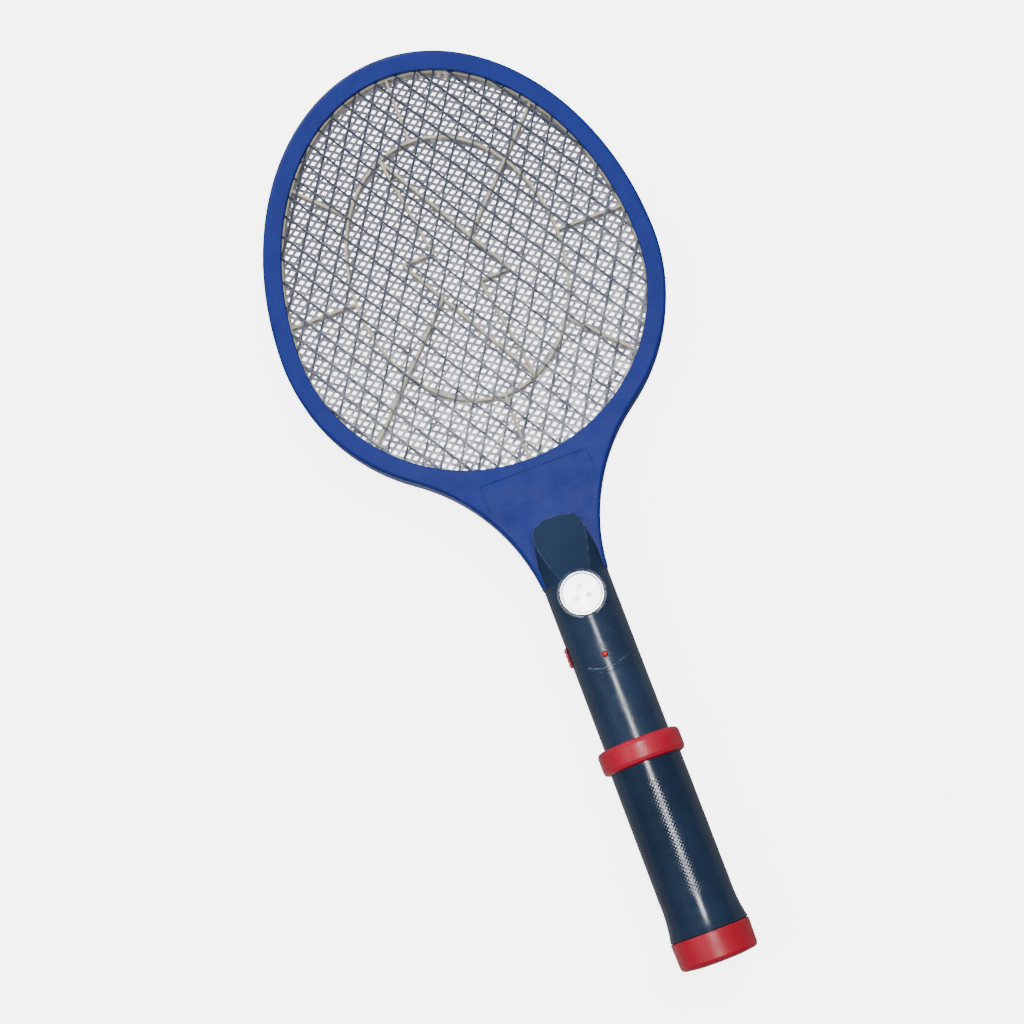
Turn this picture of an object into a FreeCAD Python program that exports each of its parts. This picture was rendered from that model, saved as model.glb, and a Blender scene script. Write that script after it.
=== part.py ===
"""Electric fly swatter, rechargeable, with a lamp in the handle.

Frame: X across, +Y from the end cap towards the head, +Z out of the lamp side.
Y is 0 at mid-length. Z is 0 where the collar ring touches the table; the handle's axis and the
middle of the net are at axis_height above it. Millimetres.
"""
import FreeCAD, Part
import math
import os

import Sketcher
from FreeCAD import Placement, Rotation, Vector

doc = FreeCAD.newDocument("fly_swatter")

# ---------------------------------------------------------------- driving dimensions
SIZES = {
    # overall
    "axis_height": 22.0,
    # egg-shaped opening of the head, and the blue frame around it
    "head_y": 113.0,
    "open_half": 95.0,
    "open_top": 130.7,
    "rim_half": 105.0,
    "rim_top": 142.0,
    "half_depth": 7.0,
    "front_wall": 2.6,
    "side_wall": 2.0,
    "edge_round": 2.0,
    "parting": 0.25,
    "neck_y": -58.0,
    "neck_half": 17.5,
    "shoulder_y": -49.0,
    "stem_half": 12.5,
    "stem_end": -78.0,
    "boss_half": 100.4,
    "boss_dia": 5.0,
    "screw_dia": 2.2,
    "screw_head": 4.2,
    "panel_wide": 59.0,
    "panel_tall": 15.0,
    "panel_y": 5.5,
    "panel_deep": 0.4,
    # grids and the ribbed spacers between them
    "net_border": 2.6,
    "outer_pitch": 9.76,
    "outer_angle": 58.3,
    "outer_wire": 0.9,
    "centre_pitch": 3.64,
    "centre_angle": 36.0,
    "centre_wire": 0.9,
    "wire_layer": 0.5,
    "spacer_inner": 0.5,
    "spacer_outer": 3.4,
    "rib_wide": 1.5,
    "rib_lip": 0.6,
    "ring_y": 130.7,
    "ring_half": 57.0,
    "ring_tall": 75.0,
    "spoke_angle": 46.5,
    # handle covers
    "tube_radius": 17.5,
    "tube_wall": 2.0,
    "tongue_tip": -15.2,
    "tongue_half": 13.4,
    "slope_start": -57.0,
    "slope_drop": 9.0,
    "tube_end": -146.0,
    "spigot_radius": 16.75,
    "spigot_end": -160.0,
    # lamp
    "lamp_y": -59.2,
    "lens_dia": 20.3,
    "bezel_dia": 23.2,
    "turret_dia": 25.2,
    "turret_top": 17.2,
    # indicator
    "led_y": -92.4,
    "led_dia": 3.0,
    # slide switch
    "switch_y": -86.2,
    "knob_long": 10.0,
    "knob_wide": 8.0,
    "knob_out": 1.4,
    "switch_travel": 2.0,
    # collar ring, grip barrel, cap and plug
    "collar_radius": 22.0,
    "collar_top": -137.5,
    "collar_end": -150.0,
    "grip_radius": 18.85,
    "grip_wall": 2.0,
    "flare_start": -222.0,
    "flare_radius": 20.75,
    "grip_end": -238.7,
    "mouth_radius": 18.4,
    "mouth_start": -232.0,
    "cap_radius": 20.9,
    "cap_end_radius": 20.5,
    "cap_top": -239.0,
    "cap_end": -255.0,
    "pin_dia": 4.0,
    "pin_shank_dia": 3.0,
    "pin_spacing": 19.0,
    "pin_tail": -228.0,
    "pin_end": -253.0,
    # circuit and battery
    "board_wide": 18.6,
    "board_top": -84.0,
    "board_end": -142.0,
    "board_level": -4.0,
    "board_thick": 1.6,
    "cell_dia": 14.4,
    "cell_long": 48.0,
    "battery_top": -174.0,
}

sheet = doc.addObject("Spreadsheet::Sheet", "sizes")
for row, (alias, number) in enumerate(SIZES.items(), start=1):
    sheet.set(f"A{row}", alias)
    sheet.set(f"B{row}", str(number))
    sheet.setAlias(f"B{row}", alias)
doc.recompute()


def size(alias):
    """A driving dimension, as a plain number."""
    return float(sheet.get(alias))


PARTS = []


def sub_part(item, label, at=(0, 0, 0), turn=None):
    """Names a finished sub-part, and raises it to the handle's axis height."""
    item.Label = label
    base = item.Placement.Base + Vector(*at)
    rotation = turn or item.Placement.Rotation
    item.Placement = Placement(Vector(base.x, base.y, base.z + size("axis_height")), rotation)
    item.setExpression(".Placement.Base.z", f"sizes.axis_height + {base.z:.4f}")
    PARTS.append(item)


# ---------------------------------------------------------------- sketch and body helpers
def new_body(name):
    return doc.addObject("PartDesign::Body", name)


def plane_of(body, role):
    for feature in body.Origin.OriginFeatures:
        if feature.Role == role:
            return feature
    raise ValueError(role)


def sketch_on(body, name, role, edges, offset=0.0):
    sketch = body.newObject("Sketcher::SketchObject", name)
    sketch.AttachmentSupport = [(plane_of(body, role), "")]
    sketch.MapMode = "FlatFace"
    sketch.AttachmentOffset = Placement(Vector(0, 0, offset), Rotation())
    for edge in edges:
        sketch.addGeometry(edge, False)
    return sketch


def loop(points):
    """A closed polygon as sketch edges."""
    corners = [Vector(px, py, 0) for px, py in points]
    return [Part.LineSegment(a, b) for a, b in zip(corners, corners[1:] + corners[:1])]


def rectangle(wide, tall, cx=0.0, cy=0.0):
    left, right = cx - wide / 2, cx + wide / 2
    low, high = cy - tall / 2, cy + tall / 2
    return loop([(left, low), (right, low), (right, high), (left, high)])


def circle(radius, cx=0.0, cy=0.0):
    return [Part.Circle(Vector(cx, cy, 0), Vector(0, 0, 1), radius)]


def egg(half, top):
    """The head's outline: half an ellipse above head_y, half a circle below it."""
    centre = Vector(0, size("head_y"), 0)
    ellipse = Part.Ellipse(centre + Vector(0, top, 0), centre - Vector(half, 0, 0), centre)
    below = Part.Circle(centre, Vector(0, 0, 1), half)
    return [
        Part.ArcOfEllipse(ellipse, -math.pi / 2, math.pi / 2),
        Part.ArcOfCircle(below, math.pi, 2 * math.pi),
    ]


def turned(name, edges, angle=360.0):
    """A body made by turning a profile, drawn as (radius, y), about the Y axis."""
    body = new_body(name)
    sketch = sketch_on(body, name + "_profile", "XY_Plane", edges)
    turn = body.newObject("PartDesign::Revolution", name + "_turn")
    turn.Profile = sketch
    turn.ReferenceAxis = (sketch, ["V_Axis"])
    turn.Angle = angle
    return body


def pad(body, name, edges, length, offset=0.0, role="XY_Plane"):
    sketch = sketch_on(body, name + "_sketch", role, edges, offset)
    feature = body.newObject("PartDesign::Pad", name)
    feature.Profile = sketch
    if isinstance(length, str):
        feature.setExpression("Length", length)
    else:
        feature.Length = length
    return feature


def pocket(body, name, edges, length, offset=0.0, role="XY_Plane", upwards=True):
    """Cuts from the sketch plane, towards its normal when upwards."""
    sketch = sketch_on(body, name + "_sketch", role, edges, offset)
    feature = body.newObject("PartDesign::Pocket", name)
    feature.Profile = sketch
    feature.Reversed = upwards
    if isinstance(length, str):
        feature.setExpression("Length", length)
    else:
        feature.Length = length
    return feature


# ---------------------------------------------------------------- plain Part helpers
ALONG_Y = Rotation(Vector(1, 0, 0), -90)


def block(name, corner, dims):
    """A Part::Box from its low corner."""
    solid = doc.addObject("Part::Box", name)
    solid.Length, solid.Width, solid.Height = dims
    solid.Placement.Base = Vector(*corner)
    return solid


def rod(name, radius, length, base, turn=None, sweep=360.0):
    """A Part::Cylinder from the centre of its base, standing along Z unless turned."""
    solid = doc.addObject("Part::Cylinder", name)
    if isinstance(radius, str):
        solid.setExpression("Radius", radius)
    else:
        solid.Radius = radius
    solid.Height = length
    solid.Angle = sweep
    solid.Placement = Placement(Vector(*base), turn or Rotation())
    return solid


def joined(name, solids):
    fuse = doc.addObject("Part::MultiFuse", name)
    fuse.Shapes = solids
    return fuse


def cut(name, base, tools):
    result = doc.addObject("Part::Cut", name)
    result.Base = base
    result.Tool = tools[0] if len(tools) == 1 else joined(name + "_tools", tools)
    return result


def common(name, first, second):
    result = doc.addObject("Part::Common", name)
    result.Base = first
    result.Tool = second
    return result


def group(name, solids):
    """Like pieces kept as separate solids in one sub-part."""
    compound = doc.addObject("Part::Compound", name)
    compound.Links = solids
    return compound


def feature(name, shape):
    made = doc.addObject("Part::Feature", name)
    made.Shape = shape
    return made


# ---------------------------------------------------------------- blue frame, two halves
def neck_side():
    """Radius and centre of the concave right side of the neck, tangent to the rim's lower circle."""
    rise = size("head_y") - size("neck_y")
    half, rim = size("neck_half"), size("rim_half")
    radius = (half ** 2 + rise ** 2 - rim ** 2) / (2 * (rim - half))
    return radius, Vector(half + radius, size("neck_y"), 0)


def frame_outline(inset):
    """Edges of the frame's outline with its neck and stem, moved inwards by inset."""
    radius, centre = neck_side()
    radius += inset
    other = Vector(-centre.x, centre.y, 0)
    head = Vector(0, size("head_y"), 0)
    rim = size("rim_half") - inset
    top = size("rim_top") - inset
    stem = size("stem_half") - inset
    low = size("stem_end") + inset
    shoulder = size("shoulder_y") + inset
    lean = math.atan2(head.y - centre.y, centre.x)
    lift = math.asin((shoulder - centre.y) / radius)
    half_width = centre.x - radius * math.cos(lift)
    up = Vector(0, 0, 1)
    ellipse = Part.Ellipse(head + Vector(0, top, 0), head - Vector(rim, 0, 0), head)
    corners = [
        Vector(-half_width, shoulder, 0),
        Vector(-stem, shoulder, 0),
        Vector(-stem, low, 0),
        Vector(stem, low, 0),
        Vector(stem, shoulder, 0),
        Vector(half_width, shoulder, 0),
    ]
    return [
        Part.ArcOfEllipse(ellipse, -math.pi / 2, math.pi / 2),
        Part.ArcOfCircle(Part.Circle(head, up, rim), math.pi, math.pi + lean),
        Part.ArcOfCircle(Part.Circle(other, up, radius), lift, lean),
        *[Part.LineSegment(a, b) for a, b in zip(corners, corners[1:])],
        Part.ArcOfCircle(Part.Circle(centre, up, radius), math.pi - lean, math.pi - lift),
        Part.ArcOfCircle(Part.Circle(head, up, rim), 2 * math.pi - lean, 2 * math.pi),
    ]


RIM_SCREW_ANGLES = (20, 65, 115, 160, 202, 242, 298, 338)
NECK_SCREWS = ((-19.0, -6.0), (19.0, -6.0))
STEM_SCREW = (0.0, -73.0)
LEAD_SPACING = 7.0


def frame_screw_places():
    half = size("boss_half")
    rise = half + size("open_top") - size("open_half")
    places = []
    for angle in RIM_SCREW_ANGLES:
        turn = math.radians(angle)
        reach = rise if math.sin(turn) > 0 else half
        places.append((half * math.cos(turn), size("head_y") + reach * math.sin(turn)))
    return places + list(NECK_SCREWS)


def on_outline(edge):
    """True for the rounded part of the outline's upper edge, not the hidden stem."""
    box = edge.BoundBox
    at_face = box.ZMin > size("half_depth") - 0.01
    return at_face and box.YMax > size("shoulder_y") + 0.01


def on_parting(edge):
    """True for the outline's edge on the mid-plane, where the two halves meet."""
    box = edge.BoundBox
    return box.ZMax < 0.01 and box.YMax > size("shoulder_y") + 0.01


def on_opening(edge):
    """True for the upper edge of the egg-shaped opening."""
    box = edge.BoundBox
    at_face = box.ZMin > size("half_depth") - 0.01
    low = size("head_y") - size("open_half") - 0.5
    return at_face and box.YMin > low and box.XMax < size("open_half") + 0.5


def frame_half(name, rear):
    body = new_body(name)
    pad(body, name + "_blank", frame_outline(0.0), "sizes.half_depth")
    doc.recompute()
    blank = body.Tip
    edges = [f"Edge{i}" for i, edge in enumerate(blank.Shape.Edges, 1) if on_outline(edge)]
    rounding = body.newObject("PartDesign::Fillet", name + "_rounding")
    rounding.Base = (blank, edges)
    rounding.setExpression("Radius", "sizes.edge_round")
    doc.recompute()
    rounded = body.Tip
    edges = [f"Edge{i}" for i, edge in enumerate(rounded.Shape.Edges, 1) if on_parting(edge)]
    groove = body.newObject("PartDesign::Chamfer", name + "_parting_groove")
    groove.Base = (rounded, edges)
    groove.setExpression("Size", "sizes.parting")
    inside = "sizes.half_depth - sizes.front_wall"
    pocket(body, name + "_channel", frame_outline(size("side_wall")), inside)
    pocket(body, name + "_opening", egg(size("open_half"), size("open_top")), "sizes.half_depth")
    doc.recompute()
    opened = body.Tip
    edges = [f"Edge{i}" for i, edge in enumerate(opened.Shape.Edges, 1) if on_opening(edge)]
    softening = body.newObject("PartDesign::Fillet", name + "_lip")
    softening.Base = (opened, edges)
    softening.Radius = 0.6
    bosses = []
    pilots = []
    for bx, by in frame_screw_places() + [STEM_SCREW]:
        bosses += circle(size("boss_dia") / 2, bx, by)
        pilots += circle(size("screw_dia") / 2, bx, by)
    pad(body, name + "_bosses", bosses, inside + " + 0.5")
    wire_slots = []
    for lead_x in (-LEAD_SPACING, LEAD_SPACING):
        wire_slots += rectangle(6.0, 4.0, lead_x, size("stem_end") + 1)
    pocket(body, name + "_wire_slots", wire_slots, 3.4)
    if rear:
        pocket(body, name + "_screw_holes", pilots, "sizes.half_depth")
        heads = []
        for bx, by in frame_screw_places():
            heads += circle(size("screw_head") / 2 + 0.1, bx, by)
        pocket(body, name + "_head_seats", heads, 2.0, offset=size("half_depth") - 2.0)
    else:
        pocket(body, name + "_screw_holes", pilots[:-1], 5.0)
        pocket(body, name + "_stem_hole", pilots[-1:], "sizes.half_depth")
        panel = rectangle(size("panel_wide"), size("panel_tall"), 0.0, size("panel_y"))
        floor = size("half_depth") - size("panel_deep")
        pocket(body, name + "_panel", panel, "sizes.panel_deep", offset=floor)
    return body


FLIPPED = Rotation(Vector(0, 1, 0), 180)
sub_part(frame_half("frame_front", rear=False), "front_frame")
sub_part(frame_half("frame_back", rear=True), "rear_frame", turn=FLIPPED)

# Self-tapping screws, driven from the rear
screws = []
for index, (sx, sy) in enumerate(frame_screw_places()):
    seat = -size("half_depth") + 0.4
    head = rod(f"frame_screw_head_{index}", size("screw_head") / 2, 1.6, (sx, sy, seat))
    shank = rod(f"frame_screw_shank_{index}", size("screw_dia") / 2, 9.0, (sx, sy, seat + 1.6))
    screws.append(joined(f"frame_screw_{index}", [head, shank]))
sub_part(group("frame_screw_set", screws), "frame_screws")


# ---------------------------------------------------------------- wire grids and spacers
def prism(edges, low, high):
    """A solid standing on a closed outline, between two levels."""
    wire = Part.Wire(Part.__sortEdges__([edge.toShape() for edge in edges]))
    face = Part.Face(wire)
    face.translate(Vector(0, 0, low))
    return face.extrude(Vector(0, 0, high - low))


def net_outline(grow):
    return egg(size("open_half") + grow, size("open_top") + grow)


def wire_layer(pitch, angle, wire, low):
    """One comb of parallel wires, welded to its border."""
    high = low + size("wire_layer")
    border = size("net_border")
    plate = prism(net_outline(border), low, high)
    field = prism(net_outline(0.3), low, high)
    middle = Vector(0, size("head_y"), 0)
    reach = 420.0
    count = int(reach / pitch / 2)
    gaps = []
    for step in range(-count, count):
        gap = Part.makeBox(reach, pitch - wire, high - low)
        gap.translate(Vector(-reach / 2, step * pitch + wire / 2, low))
        gap.rotate(Vector(0, 0, 0), Vector(0, 0, 1), angle)
        gap.translate(middle)
        if gap.BoundBox.intersect(field.BoundBox):
            gaps.append(gap)
    return plate.cut(field.common(Part.makeCompound(gaps)))


def wire_grid(name, pitch, angle, wire, low, tab_x):
    """Two combs laid face to face, with a soldering tab at the foot."""
    lower = wire_layer(pitch, angle, wire, low)
    upper = wire_layer(pitch, -angle, wire, low + size("wire_layer"))
    foot = size("head_y") - size("open_half") - size("net_border")
    tab = Part.makeBox(5.0, 9.0, size("wire_layer"), Vector(tab_x - 2.5, foot - 7.5, low))
    return feature(name, Part.makeCompound([lower.fuse(tab), upper]))


def spacer(name, low, high):
    """Ribbed plastic spacer: rim, oval ring, eight spokes, a zigzag bolt and its two stays."""
    rim = prism(net_outline(size("net_border")), low, high)
    rim = rim.cut(prism(net_outline(-size("rib_lip")), low, high))
    hub = Vector(0, size("ring_y"), 0)
    half_rib = size("rib_wide") / 2

    def oval(grow):
        wide, tall = size("ring_half") + grow, size("ring_tall") + grow
        return [Part.Ellipse(hub + Vector(0, tall, 0), hub - Vector(wide, 0, 0), hub)]

    pieces = [rim, prism(oval(half_rib), low, high).cut(prism(oval(-half_rib), low, high))]

    def rib(start, end):
        run = Vector(end[0] - start[0], end[1] - start[1], 0)
        bar = Part.makeBox(run.Length, 2 * half_rib, high - low, Vector(0, -half_rib, low))
        bar.rotate(Vector(0, 0, 0), Vector(0, 0, 1), math.degrees(math.atan2(run.y, run.x)))
        bar.translate(hub + Vector(start[0], start[1], 0))
        pieces.append(bar)

    def ring_point(angle):
        across, along = math.cos(math.radians(angle)), math.sin(math.radians(angle))
        reach = 1 / math.hypot(across / size("ring_half"), along / size("ring_tall"))
        return reach * across, reach * along

    inside = prism(net_outline(0.5), low, high)
    slant = size("spoke_angle")
    for angle in (0, slant, 90, 180 - slant, 180, 180 + slant, 270, 360 - slant):
        start = ring_point(angle)
        rib(start, (2.5 * start[0], 2.5 * start[1]))
        pieces[-1] = pieces[-1].common(inside)
    bolt = [(-18.6, 70.6), (-9.2, 11.7), (-26.4, 11.0)]
    bolt += [(-bx, -by) for bx, by in bolt]
    for start, end in zip(bolt, bolt[1:] + bolt[:1]):
        rib(start, end)
    rib((12.0, 13.0), ring_point(slant))
    rib((-12.0, -13.0), ring_point(180 + slant))
    for bx, by in bolt:
        corner = Part.makeCylinder(half_rib, high - low, hub + Vector(bx, by, low))
        pieces.append(corner)
    whole = pieces[0].multiFuse(pieces[1:]).removeSplitter()
    return feature(name, whole)


outer = (size("outer_pitch"), size("outer_angle"), size("outer_wire"))
centre = (size("centre_pitch"), size("centre_angle"), size("centre_wire"))
layer = size("wire_layer")
sub_part(wire_grid("grid_front", *outer, size("spacer_outer"), LEAD_SPACING), "front_grid")
rear_level = -size("spacer_outer") - 2 * layer
sub_part(wire_grid("grid_back", *outer, rear_level, LEAD_SPACING), "rear_grid")
sub_part(wire_grid("grid_centre", *centre, -layer, -LEAD_SPACING), "centre_grid")
sub_part(spacer("spacer_front", size("spacer_inner"), size("spacer_outer")), "front_spacer")
sub_part(spacer("spacer_back", -size("spacer_outer"), -size("spacer_inner")), "rear_spacer")

# Wire link that joins the front and rear grids behind the neck
link_low = -size("spacer_outer") - layer
link_wire = rod("link_wire", 0.6, -2 * link_low - layer, (LEAD_SPACING, 11.0, link_low))
sub_part(link_wire, "grid_link")


# ---------------------------------------------------------------- navy handle covers
def tongue_plan(name):
    """Plan of a cover: full width along the handle, then a tapering tongue over the neck."""
    wide = 22.0
    neck = size("shoulder_y")
    tip = size("tongue_tip")
    half = size("tongue_half")
    full = size("tube_radius")
    shoulder = (half, tip - 8.5)
    bend = (half - 1.0, tip - 4.2)
    crown = (half - 4.5, tip - 1.7)
    waist = (full - 1.2, neck + 9)
    outline = [
        Part.Arc(Vector(full, neck, 0), Vector(*waist, 0), Vector(*shoulder, 0)),
        Part.Arc(Vector(*shoulder, 0), Vector(*bend, 0), Vector(*crown, 0)),
        Part.Arc(Vector(*crown, 0), Vector(0, tip, 0), Vector(-crown[0], crown[1], 0)),
        Part.Arc(
            Vector(-crown[0], crown[1], 0), Vector(-bend[0], bend[1], 0), Vector(-shoulder[0], shoulder[1], 0)
        ),
        Part.Arc(
            Vector(-shoulder[0], shoulder[1], 0), Vector(-waist[0], waist[1], 0), Vector(-full, neck, 0)
        ),
    ]
    low = size("spigot_end") - 10
    base = [(-full, neck), (-wide, neck), (-wide, low), (wide, low), (wide, neck), (full, neck)]
    for start, end in zip(base, base[1:]):
        outline.append(Part.LineSegment(Vector(*start, 0), Vector(*end, 0)))
    sketch = doc.addObject("Sketcher::SketchObject", name + "_sketch")
    for edge in outline:
        sketch.addGeometry(edge, False)
    solid = doc.addObject("Part::Extrusion", name)
    solid.Base = sketch
    solid.DirMode = "Normal"
    solid.LengthFwd = 30.0
    solid.Solid = True
    return solid


BACK_ALONG_Y = Rotation(Vector(1, 0, 0), 90)
SIDE_SCREWS = ((12.2, -102.0), (-12.2, -126.0))
LOCK_Y = -155.0


def half_tube(name, radius, top, end):
    """A solid half cylinder about the Y axis, on the +Z side, from top down to end."""
    return rod(name, radius, top - end, (0, top, 0), turn=BACK_ALONG_Y, sweep=180.0)


def slope_cutter(name, drop):
    """What lies above the sloping face of the tongue, moved down by drop."""
    run = size("tongue_tip") - size("slope_start")
    lean = math.degrees(math.atan2(size("slope_drop"), run))
    wedge = block(name, (-30, 0, 0), (60, 60, 30))
    start = Vector(0, size("slope_start"), size("tube_radius") - drop)
    turn = Rotation(Vector(1, 0, 0), -lean)
    wedge.Placement = Placement(start + turn.multVec(Vector(-30, 0, 0)), turn)
    return wedge


def cover_half(name, front):
    """One half of the upper handle. It is modelled on the +Z side, and the rear one is flipped."""
    hand = 1 if front else -1
    radius, wall = size("tube_radius"), size("tube_wall")
    neck, tip = size("shoulder_y"), size("tongue_tip")
    end, spigot_end = size("tube_end"), size("spigot_end")
    lamp_y, deep = size("lamp_y"), size("half_depth")
    tube = half_tube(name + "_tube", radius, tip, end)
    sloped = cut(name + "_sloped", tube, [slope_cutter(name + "_slope", 0.0)])
    outside = common(name + "_outside", sloped, tongue_plan(name + "_plan"))
    spigot = half_tube(name + "_spigot", size("spigot_radius"), end, spigot_end)
    solids = [outside, spigot]
    if front:
        turret = rod(name + "_turret", size("turret_dia") / 2, size("turret_top") - 8, (0, lamp_y, 8))
        solids.append(turret)
    whole = joined(name + "_whole", solids)
    bore = half_tube(name + "_bore", radius - wall, neck, end - 0.01)
    spigot_bore = half_tube(name + "_spigot_bore", size("spigot_radius") - wall, end, spigot_end - 1)
    tongue_bore = common(
        name + "_tongue_bore",
        half_tube(name + "_tongue_tube", radius - wall, tip - 5, neck - 1),
        block(name + "_tongue_room", (-11, neck - 1, 0), (22, tip - 5 - neck, 16)),
    )
    hollow = joined(name + "_hollow", [bore, spigot_bore, tongue_bore])
    hollow = cut(name + "_hollow_sloped", hollow, [slope_cutter(name + "_inner_slope", wall + 0.1)])
    neck_slot = block(name + "_neck_slot", (-25, neck, -1), (50, 60, 1 + deep))
    shell = cut(name + "_shell", whole, [hollow, neck_slot])
    stem_boss, side_boss = (2.6, 2.5) if front else (3.8, 2.8)
    bosses = [rod(name + "_stem_boss", stem_boss, 16.0 - deep, (STEM_SCREW[0], STEM_SCREW[1], deep))]
    for index, (bx, by) in enumerate(SIDE_SCREWS):
        bosses.append(rod(f"{name}_boss_{index}", side_boss, 9.2, (hand * bx, by, 0)))
    bossed = joined(name + "_bossed", [shell] + bosses)
    slot_x = -hand * (radius - 2)
    slot_long = 2 * size("switch_travel") + 3.6
    slot_low = size("switch_y") - slot_long / 2
    slot = block(name + "_switch_slot", (slot_x - 4, slot_low, -1), (8, slot_long, 3.1))
    tools = [slot]
    places = [STEM_SCREW] + [(hand * bx, by) for bx, by in SIDE_SCREWS]
    for index, (bx, by) in enumerate(places):
        if front:
            depth = 13.5 if index == 0 else 7.5
            tools.append(rod(f"{name}_pilot_{index}", 1.2, depth, (bx, by, 0)))
        else:
            seat = 14.0 if index == 0 else 8.0
            tools.append(rod(f"{name}_through_{index}", 1.4, 20.0, (bx, by, -1)))
            tools.append(rod(f"{name}_seat_{index}", 2.6, 12.0, (bx, by, seat)))
    if front:
        tools.append(rod(name + "_lamp_bore", size("lens_dia") / 2 + 0.1, 20.0, (0, lamp_y, 5)))
        seat_z = size("turret_top") - 1.4
        tools.append(rod(name + "_bezel_seat", size("bezel_dia") / 2 + 0.05, 5.0, (0, lamp_y, seat_z)))
        tools.append(rod(name + "_led_hole", size("led_dia") / 2 + 0.1, 6.0, (0, size("led_y"), 14)))
    else:
        tools.append(rod(name + "_grip_screw_hole", 1.0, 20.0, (0, LOCK_Y, 5)))
    drilled = cut(name + "_drilled", bossed, tools)
    if not front:
        return drilled
    crescent = cut(
        name + "_crescent",
        half_tube(name + "_crescent_skin", radius + 0.35, -96.0, -103.0),
        [
            half_tube(name + "_crescent_core", radius - 0.3, -95.0, -104.0),
            rod(name + "_crescent_inner", 18.0, 30.0, (0, -81.2, 0)),
        ],
    )
    disc = rod(name + "_crescent_outer", 14.4, 30.0, (0, -87.0, 0))
    bounded = common(name + "_crescent_mark", crescent, disc)
    return joined(name + "_marked", [drilled, bounded])


sub_part(cover_half("cover_front", front=True), "front_cover")
sub_part(cover_half("cover_back", front=False), "rear_cover", turn=FLIPPED)

# Handle screws, from the rear: one through the stem, two in the sides, one locking the grip
cover_screws = []
for index, (sx, sy) in enumerate((STEM_SCREW,) + SIDE_SCREWS):
    seat = -14.0 if index == 0 else -8.0
    shank_end = 11.0 if index == 0 else 6.5
    head = rod(f"cover_screw_head_{index}", 2.3, 1.8, (sx, sy, seat - 1.8))
    shank = rod(f"cover_screw_shank_{index}", size("screw_dia") / 2, shank_end - seat, (sx, sy, seat))
    cover_screws.append(joined(f"cover_screw_{index}", [head, shank]))
sub_part(group("cover_screw_set", cover_screws), "handle_screws")
lock_head = rod("lock_head", 1.9, 1.0, (0, LOCK_Y, -size("grip_radius")))
lock_shank = rod("lock_shank", 0.95, 4.0, (0, LOCK_Y, -size("grip_radius") + 1.0))
sub_part(joined("lock_screw", [lock_head, lock_shank]), "grip_screw")


# ---------------------------------------------------------------- collar ring and grip
def turned_part(name, label, points):
    """A turned sub-part from a polygon of (radius, y) corners."""
    sub_part(turned(name, loop(points)), label)


collar, grip = size("collar_radius"), size("grip_radius")
collar_top, collar_end = size("collar_top"), size("collar_end")
fit = 0.05
turned_part("collar", "collar_ring", [
    (size("tube_radius") + fit, collar_top),
    (collar - 2.2, collar_top),
    (collar - 0.6, collar_top - 0.7),
    (collar, collar_top - 2.4),
    (collar, collar_end + 2.4),
    (collar - 0.6, collar_end + 0.7),
    (collar - 2.2, collar_end),
    (grip + fit, collar_end),
    (grip + fit, size("tube_end")),
    (size("tube_radius") + fit, size("tube_end")),
])

grip_end, flare_start = size("grip_end"), size("flare_start")
flare, mouth = size("flare_radius"), size("mouth_radius")
bore = grip - size("grip_wall")
rise, run = flare - grip, flare_start - grip_end
trumpet = (run ** 2 + rise ** 2) / (2 * rise)
sweep = math.asin(run / trumpet)
flare_centre = Vector(grip + trumpet, flare_start, 0)
flare_arc = Part.ArcOfCircle(Part.Circle(flare_centre, Vector(0, 0, 1), trumpet), math.pi, math.pi + sweep)
grip_corners = [
    flare_arc.EndPoint,
    Vector(mouth, grip_end, 0),
    Vector(mouth, size("mouth_start"), 0),
    Vector(bore, size("mouth_start"), 0),
    Vector(bore, size("tube_end"), 0),
    Vector(grip, size("tube_end"), 0),
    flare_arc.StartPoint,
]
grip_edges = [flare_arc] + [Part.LineSegment(a, b) for a, b in zip(grip_corners, grip_corners[1:])]
barrel = turned("barrel", grip_edges)
pocket(barrel, "barrel_screw_hole", circle(2.0, 0.0, LOCK_Y), 25.0, upwards=False)
sub_part(barrel, "grip_barrel")

# ---------------------------------------------------------------- charging plug and its cap
cap_top, cap_end = size("cap_top"), size("cap_end")
cap_radius, cap_foot = size("cap_radius"), size("cap_end_radius")
skirt = mouth - 0.25
boss = skirt - 1.4 - 0.35
turned_part("cap", "end_cap", [
    (skirt - 1.4, size("mouth_start") - 2.4),
    (skirt, size("mouth_start") - 2.4),
    (skirt, cap_top),
    (cap_radius - 0.3, cap_top),
    (cap_radius, cap_top - 0.3),
    (cap_foot, cap_end + 3.2),
    (cap_foot - 0.6, cap_end + 1.9),
    (cap_foot - 1.9, cap_end + 1.2),
    (cap_foot * 0.6, cap_end + 0.4),
    (0, cap_end),
    (0, cap_end + 1.5),
    (cap_foot * 0.6, cap_end + 1.8),
    (skirt - 1.4, cap_end + 2.4),
])

flange = mouth - fit
flange_end = size("mouth_start") - 1.8
core_start, core_end = -226.0, -231.5
plug = turned("plug", loop([
    (0, grip_end),
    (boss, grip_end),
    (boss, flange_end),
    (flange, flange_end),
    (flange, size("mouth_start")),
    (bore - fit, size("mouth_start")),
    (bore - fit, core_start),
    (bore - 2.0, core_start),
    (bore - 2.0, core_end),
    (0, core_end),
]))
half_gap = size("pin_spacing") / 2
pin_holes = []
for side in (-1, 1):
    pin_holes += circle(size("pin_shank_dia") / 2, side * half_gap, 0.0)
pocket(plug, "plug_pin_holes", pin_holes, 30.0, offset=225.0, role="XZ_Plane")
sub_part(plug, "plug_insert")

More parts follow.
